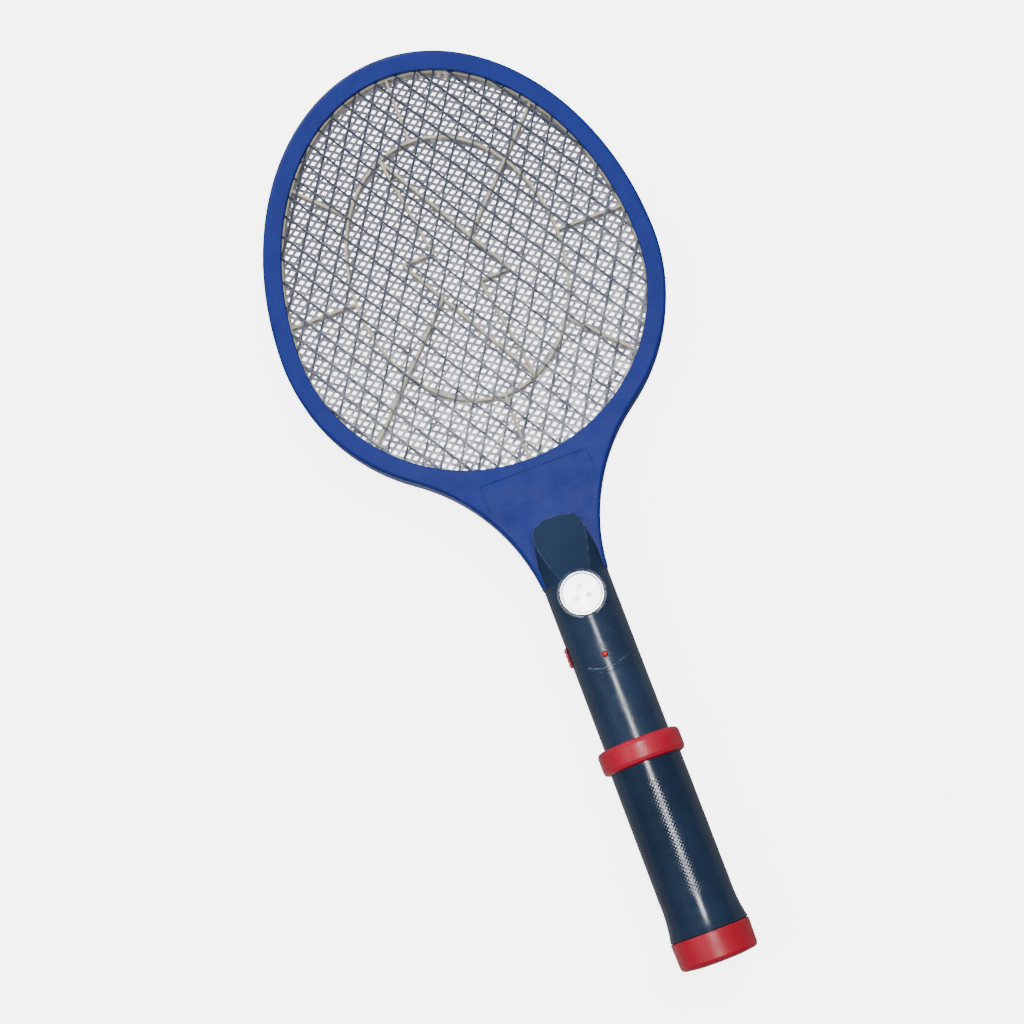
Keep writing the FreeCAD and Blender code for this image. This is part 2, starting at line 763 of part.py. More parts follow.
# Each pin: a tapered tip, a bare barrel seated on the insert's face, and a thinner shank through it
pins = []
pin_end, pin_tail, tip_long = size("pin_end"), size("pin_tail"), 1.5
for side in (-1, 1):
    pin_x = side * half_gap
    barrel_long = grip_end - pin_end - tip_long
    bare = rod(f"pin_{side}", "sizes.pin_dia / 2", barrel_long, (pin_x, pin_end + tip_long, 0), ALONG_Y)
    shank_long = pin_tail - grip_end
    shank = rod(f"pin_shank_{side}", "sizes.pin_shank_dia / 2", shank_long, (pin_x, grip_end, 0), ALONG_Y)
    tip = doc.addObject("Part::Cone", f"pin_tip_{side}")
    tip.Radius1 = size("pin_dia") / 2 - 0.9
    tip.Radius2 = size("pin_dia") / 2
    tip.Height = tip_long
    tip.Placement = Placement(Vector(pin_x, pin_end, 0), ALONG_Y)
    pins.append(joined(f"pin_whole_{side}", [bare, shank, tip]))
sub_part(group("pin_pair", pins), "plug_pins")


# ---------------------------------------------------------------- lamp in the turret
def lamp_part(name, label, points):
    """A sub-part turned about the lamp's own axis, from corners given as (radius, level)."""
    body = new_body(name)
    sketch = sketch_on(body, name + "_profile", "XZ_Plane", loop(points))
    turn = body.newObject("PartDesign::Revolution", name + "_turn")
    turn.Profile = sketch
    turn.ReferenceAxis = (sketch, ["V_Axis"])
    sub_part(body, label, at=(0, size("lamp_y"), 0))


lens_r, bezel_r = size("lens_dia") / 2, size("bezel_dia") / 2
face = size("turret_top")
seat = face - 1.4
lamp_part("bezel", "lamp_bezel", [
    (lens_r + 0.1, seat),
    (bezel_r, seat),
    (bezel_r, face + 0.1),
    (bezel_r - 0.4, face + 0.5),
    (lens_r + 0.4, face + 0.5),
    (lens_r + 0.1, face + 0.2),
])
lamp_part("lens", "lamp_lens", [
    (0, face - 1.6),
    (lens_r, face - 1.6),
    (lens_r, face - 0.1),
    (lens_r * 0.8, face + 0.35),
    (lens_r * 0.45, face + 0.7),
    (0, face + 0.85),
])
cup = new_body("cup")
cup_sketch = sketch_on(cup, "cup_profile", "XZ_Plane", loop([
    (0, 8.9),
    (4.8, 8.9),
    (8.2, 11.6),
    (9.4, face - 1.7),
    (lens_r, face - 1.7),
    (lens_r, face - 2.6),
    (9.7, face - 2.6),
    (8.9, 10.9),
    (5.4, 8.1),
    (0, 8.1),
]))
cup_turn = cup.newObject("PartDesign::Revolution", "cup_turn")
cup_turn.Profile = cup_sketch
cup_turn.ReferenceAxis = (cup_sketch, ["V_Axis"])
led_places = []
for angle in (90, 210, 330):
    led_places.append((3.6 * math.cos(math.radians(angle)), 3.6 * math.sin(math.radians(angle))))
cup_holes = []
for lx, ly in led_places:
    cup_holes += circle(2.6, lx, ly)
pocket(cup, "cup_led_holes", cup_holes, 12.0)
sub_part(cup, "lamp_reflector", at=(0, size("lamp_y"), 0))


def led(name, radius, base, body_long, at_x, at_y):
    """A round LED: flange, barrel and domed tip, standing on its base level."""
    rim = rod(name + "_flange", radius + 0.35, 0.8, (at_x, at_y, base))
    stem = rod(name + "_barrel", radius, body_long, (at_x, at_y, base + 0.8))
    dome = doc.addObject("Part::Sphere", name + "_dome")
    dome.Radius = radius
    dome.Angle1 = 0.0
    dome.Placement.Base = Vector(at_x, at_y, base + 0.8 + body_long)
    return joined(name, [rim, stem, dome])


lamp_leds = []
for index, (lx, ly) in enumerate(led_places):
    radius = 2.1
    lamp_leds.append(led(f"lamp_led_{index}", radius, 8.0, 2.4, lx, ly + size("lamp_y")))
sub_part(group("lamp_led_set", lamp_leds), "lamp_leds")
sub_part(rod("lamp_disc", 9.4, 0.9, (0, size("lamp_y"), 7.05)), "lamp_board")

# ---------------------------------------------------------------- circuit board
board_wide, board_top, board_end = size("board_wide"), size("board_top"), size("board_end")
board_low = size("board_level")
board_face = board_low + size("board_thick")
board_long = board_top - board_end
board = block("board", (-board_wide / 2, board_end, board_low), (board_wide, board_long, size("board_thick")))
sub_part(board, "main_board")

led_y, led_r = size("led_y"), size("led_dia") / 2
led_foot = size("tube_radius") - 5.3
indicator = [led("indicator", led_r, led_foot, 3.4, 0.0, led_y)]
leg_long = led_foot - board_face + 0.2
for leg_x in (-1.0, 1.0):
    indicator.append(rod(f"indicator_leg_{leg_x}", 0.3, leg_long, (leg_x, led_y, board_face)))
sub_part(joined("indicator_whole", indicator), "indicator_led")

core_y, core_x = -108.0, -1.5
core = block("core_block", (core_x - 6.5, core_y - 6.5, board_face + 1.0), (13.0, 13.0, 11.0))
windows = [
    block("core_window_0", (core_x - 7.5, core_y - 4.6, board_face + 2.6), (15.0, 2.6, 7.8)),
    block("core_window_1", (core_x - 7.5, core_y + 2.0, board_face + 2.6), (15.0, 2.6, 7.8)),
]
sub_part(cut("core", core, windows), "transformer_core")
winding = [
    block("winding_low", (core_x - 6.9, core_y - 4.5, board_face + 2.7), (13.8, 2.4, 7.6)),
    block("winding_high", (core_x - 6.9, core_y + 2.1, board_face + 2.7), (13.8, 2.4, 7.6)),
]
wound = [joined("winding_loop", winding + [
    block("winding_left", (core_x - 6.9, core_y - 4.5, board_face + 2.7), (0.35, 9.0, 7.6)),
    block("winding_right", (core_x + 6.55, core_y - 4.5, board_face + 2.7), (0.35, 9.0, 7.6)),
])]
sub_part(group("winding", wound), "transformer_winding")
bobbin = block("bobbin_base", (core_x - 6.5, core_y - 7.5, board_face), (13.0, 15.0, 1.0))
sub_part(bobbin, "transformer_base")


def rounded_block(name, corner, dims, radius):
    """A moulded case with its upright corners rounded."""
    body = new_body(name)
    wide, deep, tall = dims
    plan = rectangle(wide, deep, corner[0] + wide / 2, corner[1] + deep / 2)
    pad(body, name + "_pad", plan, tall, offset=corner[2])
    doc.recompute()
    blank = body.Tip
    upright = []
    for i, edge in enumerate(blank.Shape.Edges, 1):
        box = edge.BoundBox
        if box.ZLength > tall - 0.01:
            upright.append(f"Edge{i}")
    rounding = body.newObject("PartDesign::Fillet", name + "_corners")
    rounding.Base = (blank, upright)
    rounding.Radius = radius
    return body


sub_part(rounded_block("hv_case", (-8.6, -139.5, board_face), (6.4, 17.0, 11.0), 1.5), "hv_capacitor")
sub_part(rounded_block("mains_case", (0.6, -139.5, board_face), (7.6, 17.0, 11.5), 1.5), "charge_capacitor")

# High-voltage diodes stand on end beside the transformer; resistors lie at the board's top end
diodes = []
for index in range(4):
    diodes.append(rod(f"diode_{index}", 1.2, 6.5, (7.4, -120.6 + 3.3 * index, board_face)))
sub_part(group("diode_set", diodes), "rectifier_diodes")
resistors = []
for index, x in enumerate((-8.0, -5.2, 8.0)):
    resistors.append(rod(f"resistor_{index}", 0.9, 5.2, (x, -99.4, board_face + 0.95), ALONG_Y))
sub_part(group("resistor_set", resistors), "resistors")

can = rod("transistor_can", 2.4, 5.0, (4.6, -97.5, board_face + 1.0))
flat = block("transistor_flat", (1.0, -101.0, board_face), (7.2, 2.4, 7.0))
sub_part(cut("transistor_body", can, [flat]), "transistor")

# ---------------------------------------------------------------- slide switch
switch_y, travel = size("switch_y"), size("switch_travel")
tube, reach = size("tube_radius"), size("knob_out")
case = block("switch_case", (-13.4, switch_y - 7.0, -2.3), (4.0, 14.0, 4.6))
room_long = 2 * travel + 2.8
lever_room = block("lever_room", (-14.0, switch_y - room_long / 2, -1.3), (3.0, room_long, 2.6))
sub_part(cut("switch_shell", case, [lever_room]), "switch_body")
sub_part(block("lever", (-16.4, switch_y - 1.0, -1.0), (5.0, 2.0, 2.0)), "switch_lever")


def arc_plate(name, inner, outer_radius, long, wide):
    """A curved plate about the handle's axis, on the -X side, centred on the switch."""
    span = 2 * math.degrees(math.asin(wide / 2 / outer_radius))
    turn = Rotation(Vector(0, 1, 0), span / 2 - 180).multiply(BACK_ALONG_Y)
    whole = rod(name + "_whole", outer_radius, long, (0, switch_y + long / 2, 0), turn, span)
    core = rod(name + "_core", inner, long + 2, (0, switch_y + long / 2 + 1, 0), BACK_ALONG_Y)
    return cut(name, whole, [core])


knob_long, knob_wide = size("knob_long"), size("knob_wide")
knob_plate = arc_plate("knob_plate", tube + 0.3, tube + reach - 0.4, knob_long, knob_wide)
knob_skirt = arc_plate("knob_skirt", tube - 3.4, tube - 2.4, knob_long + 1.5, 5.0)
knob_neck = block("knob_neck", (-tube - 0.6, switch_y - 1.5, -1.7), (3.6, 3.0, 3.4))
ribs = []
for index in range(4):
    rib_y = switch_y - 3.6 + index * 2.4
    rib_corner = (-tube - reach, rib_y - 0.55, -knob_wide / 2 + 0.5)
    ribs.append(block(f"knob_rib_{index}", rib_corner, (1.2, 1.1, knob_wide - 1.0)))
knob = joined("knob_solid", [knob_plate, knob_skirt, knob_neck] + ribs)
socket = block("knob_socket", (-16.6, switch_y - 1.1, -1.1), (3.0, 2.2, 2.2))
sub_part(cut("knob_whole", knob, [socket]), "switch_knob")

# ---------------------------------------------------------------- battery in the grip
cell_r, cell_long, cell_top = size("cell_dia") / 2, size("cell_long"), size("battery_top")
cell_end = cell_top - cell_long
bridge_corner = (-cell_r, cell_end, 0.6 - cell_r)
case_solids = [block("cell_bridge", bridge_corner, (2 * cell_r, cell_long, 2 * cell_r - 1.2))]
tabs = []
for side in (-1, 1):
    case_solids.append(rod(f"cell_{side}", cell_r, cell_long, (side * cell_r, cell_end, 0), ALONG_Y))
    tabs.append(block(f"cell_tab_{side}", (side * cell_r - 1.6, cell_top, -0.2), (3.2, 5.0, 0.4)))
sub_part(joined("cell_case", case_solids), "battery")
sub_part(group("cell_tabs", tabs), "battery_tabs")
pad_reach, pad_end = 15.2, cell_end + 8.0
pad_dims = (12.0, 32.0, pad_reach - cell_r)
pads = [
    block("pad_low", (-6.0, pad_end, -pad_reach), pad_dims),
    block("pad_high", (-6.0, pad_end, cell_r), pad_dims),
]
sub_part(group("pad_pair", pads), "battery_pads")


# ---------------------------------------------------------------- leads
def lead(points, diameter):
    """One wire: straight runs joined by tangent arcs, each arc 0.45 of its shorter run."""
    route = [Vector(*point) for point in points]
    edges = []
    start = route[0]
    length = 0.0
    for before, corner, after in zip(route, route[1:], route[2:]):
        back = (before - corner).normalize()
        ahead = (after - corner).normalize()
        shorter = min((before - corner).Length, (after - corner).Length)
        turn = math.pi - back.getAngle(ahead)
        trim = 0.45 * shorter
        first = corner + back * trim
        last = corner + ahead * trim
        radius = trim / math.tan(turn / 2)
        middle_way = (back + ahead).normalize()
        middle = corner + middle_way * (radius / math.cos(turn / 2) - radius)
        edges.append(Part.LineSegment(start, first).toShape())
        edges.append(Part.Arc(first, middle, last).toShape())
        length += (first - start).Length + radius * turn
        start = last
    edges.append(Part.LineSegment(start, route[-1]).toShape())
    length += (route[-1] - start).Length
    path = Part.Wire(edges)
    direction = (route[1] - route[0]).normalize()
    section = Part.Wire(Part.Circle(route[0], direction, diameter / 2).toShape())
    tube_solid = path.makePipeShell([section], True, False)
    expected = math.pi * diameter ** 2 / 4 * length
    if abs(tube_solid.Volume / expected - 1) > 0.02:
        raise ValueError(f"lead volume {tube_solid.Volume:.1f} instead of {expected:.1f}")
    return tube_solid


def lead_set(name, label, routes, diameter):
    sub_part(feature(name, Part.makeCompound([lead(route, diameter) for route in routes])), label)


tab_level = size("spacer_outer") - 0.65
lead_set("grid_wires", "grid_leads", [
    [(7.0, 9.5, tab_level), (7.0, -4.0, 2.0), (7.5, -25.0, 0.6), (7.0, -50.0, 0.6), (7.0, -77.0, 0.6),
     (6.6, -90.0, 2.6), (6.4, -97.0, 4.5)],
    [(-7.0, 9.5, -1.2), (-7.0, -6.0, -0.6), (-7.5, -25.0, 0.6), (-7.0, -50.0, 0.6), (-7.0, -77.0, 0.6),
     (-6.8, -90.0, 3.4), (-5.5, -101.0, 5.0)],
], 1.3)
lead_set("lamp_wires", "lamp_leads", [
    [(3.6, -68.2, 8.7), (4.2, -74.0, 9.2), (4.4, -80.0, 7.0), (3.4, -86.0, 2.0), (3.4, -87.5, -1.6)],
    [(-3.6, -68.2, 8.7), (-4.2, -74.0, 9.2), (-4.4, -80.0, 7.0), (-3.4, -86.0, 2.0), (-3.4, -87.5, -1.6)],
], 1.2)
lead_set("battery_wires", "battery_leads", [
    [(side * cell_r, cell_top + 1.0, 0.9), (side * 7.4, -165.0, 1.6), (side * 6.4, -154.0, -0.4),
     (side * 5.6, -141.2, -1.6)] for side in (-1, 1)
], 1.3)
lead_set("charge_wires", "charge_leads", [
    [(side * half_gap, -227.2, 0.0), (side * 9.0, -224.4, 9.0), (side * 8.4, -208.0, 11.5),
     (side * 8.4, -180.0, 11.5), (side * 7.6, -160.0, 9.0), (side * 6.6, -148.0, 4.0),
     (side * 6.0, -141.4, 0.4)]
    for side in (-1, 1)
], 1.2)
lead_set("switch_wires", "switch_leads", [
    [(-9.2, switch_y + offset, -0.6), (-8.4, switch_y + offset, -0.8), (-7.8, switch_y + offset, -1.7)]
    for offset in (-4.0, 0.0, 4.0)
], 0.8)

# ---------------------------------------------------------------- check and write
doc.recompute()
for item in doc.Objects:
    if "Invalid" in item.State or "Error" in item.State:
        raise RuntimeError(f"{item.Label}: {item.State}")
os.makedirs("parts", exist_ok=True)
for item in PARTS:
    shape = item.Shape
    if shape.isNull() or not shape.isValid():
        raise RuntimeError(f"{item.Label} has no valid shape")
    shape.exportStep(f"parts/{item.Label}.step")
    print(f"{item.Label:22s} solids {len(shape.Solids):3d}  volume {shape.Volume:10.1f}")
print(len(PARTS), "sub-parts")
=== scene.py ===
"""Electric fly swatter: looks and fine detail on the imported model. Metres, same frame as the CAD."""
import math

import bmesh
import bpy
from mathutils import Matrix, Vector


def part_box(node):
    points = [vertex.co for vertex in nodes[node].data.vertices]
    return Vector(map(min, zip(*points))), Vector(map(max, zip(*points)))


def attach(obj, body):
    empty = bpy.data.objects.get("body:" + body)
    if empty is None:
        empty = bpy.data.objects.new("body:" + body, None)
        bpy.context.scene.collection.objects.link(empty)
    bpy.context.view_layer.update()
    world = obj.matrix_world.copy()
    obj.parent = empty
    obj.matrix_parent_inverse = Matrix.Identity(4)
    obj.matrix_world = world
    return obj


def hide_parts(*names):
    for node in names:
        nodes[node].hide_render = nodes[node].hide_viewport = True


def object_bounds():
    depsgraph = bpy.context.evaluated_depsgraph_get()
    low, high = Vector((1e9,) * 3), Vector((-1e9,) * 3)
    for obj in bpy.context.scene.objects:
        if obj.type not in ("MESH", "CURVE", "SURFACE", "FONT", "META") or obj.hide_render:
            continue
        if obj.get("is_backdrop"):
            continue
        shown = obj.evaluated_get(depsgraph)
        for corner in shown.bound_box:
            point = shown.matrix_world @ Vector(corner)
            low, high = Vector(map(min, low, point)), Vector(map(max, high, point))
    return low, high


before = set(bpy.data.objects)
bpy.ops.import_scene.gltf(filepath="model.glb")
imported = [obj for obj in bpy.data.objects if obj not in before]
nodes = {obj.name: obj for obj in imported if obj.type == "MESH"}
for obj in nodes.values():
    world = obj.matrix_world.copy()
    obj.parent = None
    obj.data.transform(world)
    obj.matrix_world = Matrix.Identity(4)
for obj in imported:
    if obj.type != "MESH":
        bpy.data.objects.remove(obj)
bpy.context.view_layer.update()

# ---------------------------------------------------------------- blue head frame
# Two ABS mouldings, front and rear, that clamp the nets between them. They are moulded in a
# spark-textured tool, so the faces are finely grained and the long edges are softly rounded.


def paint(red, green, blue):
    """A display colour, 0 to 255, as the linear colour a shader takes."""
    levels = []
    for level in (red, green, blue):
        share = level / 255
        levels.append(share / 12.92 if share <= 0.04045 else ((share + 0.055) / 1.055) ** 2.4)
    return (*levels, 1.0)


def put(tree, kind, **settings):
    """A node with its properties set."""
    node = tree.nodes.new(kind)
    for name, value in settings.items():
        setattr(node, name, value)
    return node


def feed(tree, socket, source):
    """Sets a socket from another socket, or from a plain value."""
    if isinstance(source, bpy.types.NodeSocket):
        tree.links.new(source, socket)
    else:
        socket.default_value = source


def maths(tree, operation, first, second=0.0, clamp=False):
    node = put(tree, "ShaderNodeMath", operation=operation, use_clamp=clamp)
    feed(tree, node.inputs[0], first)
    feed(tree, node.inputs[1], second)
    return node.outputs[0]


def fade(tree, value, start, end):
    """0 at start, 1 at end, smooth between."""
    node = put(tree, "ShaderNodeMapRange", interpolation_type="SMOOTHSTEP")
    feed(tree, node.inputs["Value"], value)
    feed(tree, node.inputs["From Min"], start)
    feed(tree, node.inputs["From Max"], end)
    return node.outputs["Result"]


def between(tree, share, first, second):
    """A colour that goes from the first to the second as share goes from 0 to 1."""
    node = put(tree, "ShaderNodeMix", data_type="RGBA")
    feed(tree, node.inputs["Factor"], share)
    feed(tree, node.inputs["A"], first)
    feed(tree, node.inputs["B"], second)
    return node.outputs["Result"]


def noise_at(tree, place, scale, detail=2.0, rough=0.5):
    node = put(tree, "ShaderNodeTexNoise")
    feed(tree, node.inputs["Vector"], place)
    feed(tree, node.inputs["Scale"], scale)
    node.inputs["Detail"].default_value = detail
    node.inputs["Roughness"].default_value = rough
    return node.outputs["Fac"]


def own_place(tree):
    return put(tree, "ShaderNodeTexCoord").outputs["Object"]


def split(tree, place):
    node = put(tree, "ShaderNodeSeparateXYZ")
    tree.links.new(place, node.inputs[0])
    return node.outputs


def new_group(name, inputs, outputs):
    """A shader node group, with its sockets given as (name, kind, value)."""
    tree = bpy.data.node_groups.new(name, "ShaderNodeTree")
    for label, kind, value in inputs:
        socket = tree.interface.new_socket(label, in_out="INPUT", socket_type="NodeSocket" + kind)
        if value is not None:
            socket.default_value = value
    for label, kind in outputs:
        tree.interface.new_socket(label, in_out="OUTPUT", socket_type="NodeSocket" + kind)
    return tree, put(tree, "NodeGroupInput").outputs, put(tree, "NodeGroupOutput").inputs


def place_group(tree, group, **values):
    """A use of a node group, with its inputs set by name, underscores standing for spaces."""
    node = put(tree, "ShaderNodeGroup", node_tree=group)
    for name, value in values.items():
        feed(tree, node.inputs[name.replace("_", " ")], value)
    return node.outputs


# Mould grain: the tool's fine pits as a height, slow shade drift, and smudges from handling.
mould_grain, given, out = new_group(
    "mould_grain",
    [("Place", "Vector", None), ("Grain Size", "Float", 0.0004)],
    [("Height", "Float"), ("Drift", "Float"), ("Smudge", "Float")],
)
grain_scale = maths(mould_grain, "DIVIDE", 1.0, given["Grain Size"])
fine_grain = noise_at(mould_grain, given["Place"], grain_scale, 3.0, 0.6)
pits = put(mould_grain, "ShaderNodeTexVoronoi")
feed(mould_grain, pits.inputs["Vector"], given["Place"])
feed(mould_grain, pits.inputs["Scale"], maths(mould_grain, "MULTIPLY", grain_scale, 0.6))
height = maths(mould_grain, "ADD", fine_grain, maths(mould_grain, "MULTIPLY", pits.outputs["Distance"], 0.5))
feed(mould_grain, out["Height"], height)
drift = noise_at(mould_grain, given["Place"], 38.0, 3.0, 0.55)
feed(mould_grain, out["Drift"], fade(mould_grain, drift, 0.32, 0.7))
smudge = noise_at(mould_grain, given["Place"], 95.0, 5.0, 0.62)
feed(mould_grain, out["Smudge"], fade(mould_grain, smudge, 0.4, 0.68))

# Worn edges: the rounding every moulded edge has, and a broken mask where it has been rubbed; on the navy
# covers the mask also carries a painted highlight along the rims.
rounded_edge_wear_and_highlight, given, out = new_group(
    "rounded_edge_wear_and_highlight",
    [("Place", "Vector", None), ("Rounding", "Float", 0.0004)],
    [("Normal", "Vector"), ("Mask", "Float")],
)
rounded = put(rounded_edge_wear_and_highlight, "ShaderNodeBevel", samples=4)
feed(rounded_edge_wear_and_highlight, rounded.inputs["Radius"], given["Rounding"])
facing = put(rounded_edge_wear_and_highlight, "ShaderNodeNewGeometry")
likeness = put(rounded_edge_wear_and_highlight, "ShaderNodeVectorMath", operation="DOT_PRODUCT")
feed(rounded_edge_wear_and_highlight, likeness.inputs[0], rounded.outputs["Normal"])
feed(rounded_edge_wear_and_highlight, likeness.inputs[1], facing.outputs["Normal"])
sharpness = fade(rounded_edge_wear_and_highlight, likeness.outputs["Value"], 0.995, 0.86)
broken = fade(rounded_edge_wear_and_highlight, noise_at(rounded_edge_wear_and_highlight, given["Place"], 420.0, 4.0, 0.6), 0.38, 0.6)
feed(rounded_edge_wear_and_highlight, out["Normal"], rounded.outputs["Normal"])
feed(rounded_edge_wear_and_highlight, out["Mask"], maths(rounded_edge_wear_and_highlight, "MULTIPLY", sharpness, broken))

# Joint line: where two mouldings meet on the mid-plane, a thin dark groove.
joint_line, given, out = new_group(
    "joint_line",
    [("Place", "Vector", None), ("Level", "Float", 0.022), ("Half Width", "Float", 0.00015)],
    [("Mask", "Float")],
)
above = maths(joint_line, "SUBTRACT", split(joint_line, given["Place"])["Z"], given["Level"])
off_line = maths(joint_line, "ABSOLUTE", above)
on_line = maths(joint_line, "DIVIDE", off_line, given["Half Width"])
feed(joint_line, out["Mask"], fade(joint_line, on_line, 1.35, 0.55))


def shader_of(material):
    """The sockets of a material's shader."""
    return material.node_tree.nodes["Principled BSDF"].inputs


def new_material(name):
    material = bpy.data.materials.new(name)
    material.use_nodes = True
    return material, material.node_tree, shader_of(material)


def scaled(tree, value, gain, start):
    """A value times gain, plus start."""
    return maths(tree, "ADD", maths(tree, "MULTIPLY", value, gain), start)


def bumped(tree, shader, height, relief, normal=None):
    """Relief from a height, over the mesh's own normal or a given one."""
    bump = put(tree, "ShaderNodeBump")
    bump.inputs["Strength"].default_value = 1.0
    bump.inputs["Distance"].default_value = relief
    feed(tree, bump.inputs["Height"], height)
    if normal is not None:
        feed(tree, bump.inputs["Normal"], normal)
    feed(tree, shader["Normal"], bump.outputs["Normal"])


def moulded(name, colour, shade, gloss, grain, relief, rounding=0.0004, rubbed_and_highlight=None, wear_and_highlight=0.35, joint=False):
    """Injection-moulded plastic. Gloss is the roughness when clean and when smudged."""
    material, tree, shader = new_material(name)
    place = own_place(tree)
    surface = place_group(tree, mould_grain, Place=place, Grain_Size=grain)
    edge = place_group(tree, rounded_edge_wear_and_highlight, Place=place, Rounding=rounding)
    tint = between(tree, surface["Drift"], colour, shade)
    # Edges take the lighter colour: wear, and on the navy covers also a painted highlight.
    edge_wear_and_highlight = maths(tree, "MULTIPLY", edge["Mask"], wear_and_highlight)
    tint = between(tree, edge_wear_and_highlight, tint, rubbed_and_highlight or colour)
    depth = surface["Height"]
    if joint:
        line = place_group(tree, joint_line, Place=place)
        tint = between(tree, maths(tree, "MULTIPLY", line["Mask"], 0.8), tint, paint(8, 10, 18))
        depth = maths(tree, "SUBTRACT", depth, maths(tree, "MULTIPLY", line["Mask"], 3.0))
    feed(tree, shader["Base Color"], tint)
    feed(tree, shader["Roughness"], scaled(tree, surface["Smudge"], gloss[1] - gloss[0], gloss[0]))
    bumped(tree, shader, depth, relief, edge["Normal"])
    shader["IOR"].default_value = 1.53
    return material


def finish_node(name, material):
    """Gives a carried-over CAD node its material."""
    mesh = nodes[name].data
    mesh.materials.clear()
    mesh.materials.append(material)


blue_abs = moulded(
    "blue_abs", paint(13, 31, 106), paint(11, 27, 97), (0.48, 0.6), 0.00045, 0.00006,
    rounding=0.0005, rubbed_and_highlight=paint(52, 78, 158), joint=True,
)
shader_of(blue_abs)["Specular IOR Level"].default_value = 0.28
finish_node("front_frame", blue_abs)
finish_node("rear_frame", blue_abs)

# ---------------------------------------------------------------- self-tapping screws
# Zinc-plated steel, pan heads with a cross recess, driven from the rear: ten hold the frame
# halves together, three the handle covers, and a small one locks the grip barrel.


def ring_faces(start, rings, sides, closed=False):
    """Quads between rings of points that follow each other, and back to the first when closed."""
    faces = []
    for ring in range(rings if closed else rings - 1):
        low, high = start + ring * sides, start + (ring + 1) % rings * sides
        for side in range(sides):
            after = (side + 1) % sides
            faces.append((low + side, low + after, high + after, high + side))
    return faces


def lathe(profile, sides):
    """Vertices and faces of a profile of (radius, level), turned about Z."""
    points = []
    for radius, level in profile:
        for side in range(sides):
            turn = 2 * math.pi * side / sides
            points.append((radius * math.cos(turn), radius * math.sin(turn), level))
    return points, ring_faces(0, len(profile), sides)


def placed(name, data):
    """An object with its mesh, light or camera, put in the scene."""
    item = bpy.data.objects.new(name, data)
    bpy.context.scene.collection.objects.link(item)
    return item


def piece_from(name, points, faces, smooth_angle=40.0):
    """A mesh object with merged points, outward faces, and smooth shading up to an angle."""
    mesh = bpy.data.meshes.new(name)
    mesh.from_pydata(points, [], faces)
    work = bmesh.new()
    work.from_mesh(mesh)
    bmesh.ops.remove_doubles(work, verts=work.verts, dist=1e-7)
    bmesh.ops.dissolve_degenerate(work, edges=work.edges, dist=1e-8)
    bmesh.ops.recalc_face_normals(work, faces=work.faces)
    work.to_mesh(mesh)
    work.free()
    mesh.shade_smooth()
    mesh.set_sharp_from_angle(angle=math.radians(smooth_angle))
    return placed(name, mesh)


def cross_outline(reach, width, level):
    """Twelve corners of a cross-shaped recess."""
    corners = [(reach, width), (width, width), (width, reach)]
    points = []
    for quarter in range(4):
        turn = Matrix.Rotation(math.radians(90 * quarter), 3, "Z")
        points += [turn @ Vector((x, y, level)) for x, y in corners]
    return points


def screw_piece(name, head_radius, head_tall, shank_radius, shank_long):
    """One screw, its head's underside at level 0 and its shank going down."""
    root = shank_radius * 0.78
    threads = int((shank_long - 0.0022) / 0.0011)
    profile = [(head_radius * 0.72, head_tall), (head_radius * 0.9, head_tall * 0.78)]
    profile += [(head_radius, head_tall * 0.42), (head_radius, head_tall * 0.08), (head_radius * 0.97, 0.0)]
    profile += [(root, 0.0), (root, -0.0006)]
    for thread in range(threads):
        level = -0.0008 - thread * 0.0011
        profile += [(root, level), (shank_radius, level - 0.00045), (root, level - 0.0009)]
    profile += [(shank_radius * 0.7, -shank_long + 0.0012), (0.0, -shank_long)]
    points, faces = lathe(profile, 32)
    rim = len(points)
    points += cross_outline(head_radius * 0.6, head_radius * 0.13, head_tall)
    points += cross_outline(head_radius * 0.28, head_radius * 0.09, head_tall * 0.35)
    for corner in range(12):
        after = (corner + 1) % 12
        faces.append((rim + corner, rim + after, rim + 12 + after, rim + 12 + corner))
    faces.append(tuple(range(rim + 12, rim + 24)))
    screw = piece_from(name, points, faces)
    work = bmesh.new()
    work.from_mesh(screw.data)
    open_edges = [edge for edge in work.edges if edge.is_boundary]
    bmesh.ops.triangle_fill(work, edges=open_edges, use_beauty=True, normal=(0, 0, 1))
    bmesh.ops.recalc_face_normals(work, faces=work.faces)
    work.to_mesh(screw.data)
    work.free()
    return screw


def merged(name, pieces, smooth_angle):
    """One piece from several (piece, material) pairs, each keeping its own material."""
    whole = bmesh.new()
    materials = []
    for piece, material in pieces:
        if material not in materials:
            materials.append(material)
        for face in piece.data.polygons:
            face.material_index = materials.index(material)
        whole.from_mesh(piece.data)
        bpy.data.objects.remove(piece)
    mesh = bpy.data.meshes.new(name)
    whole.to_mesh(mesh)
    whole.free()
    for material in materials:
        mesh.materials.append(material)
    mesh.shade_smooth()
    mesh.set_sharp_from_angle(angle=math.radians(smooth_angle))
    return placed(name, mesh)


def screw_group(name, seats, *stands_for):
    """Screws driven along +Z from below, given as (x, y, level of the head's underside, sizes)."""
    screws = []
    for index, (x, y, level, sizes) in enumerate(seats):
        screw = screw_piece(f"{name}_{index}", *sizes)
        turn = Matrix.Rotation(math.radians(47 * index + 12), 4, "Z")
        flip = Matrix.Rotation(math.pi, 4, "X")
        screw.data.transform(Matrix.Translation((x, y, level)) @ flip @ turn)
        screws.append((screw, screw_steel))
    screw_set = merged(name, screws, 35.0)
    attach(screw_set, "swatter")
    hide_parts(*stands_for)


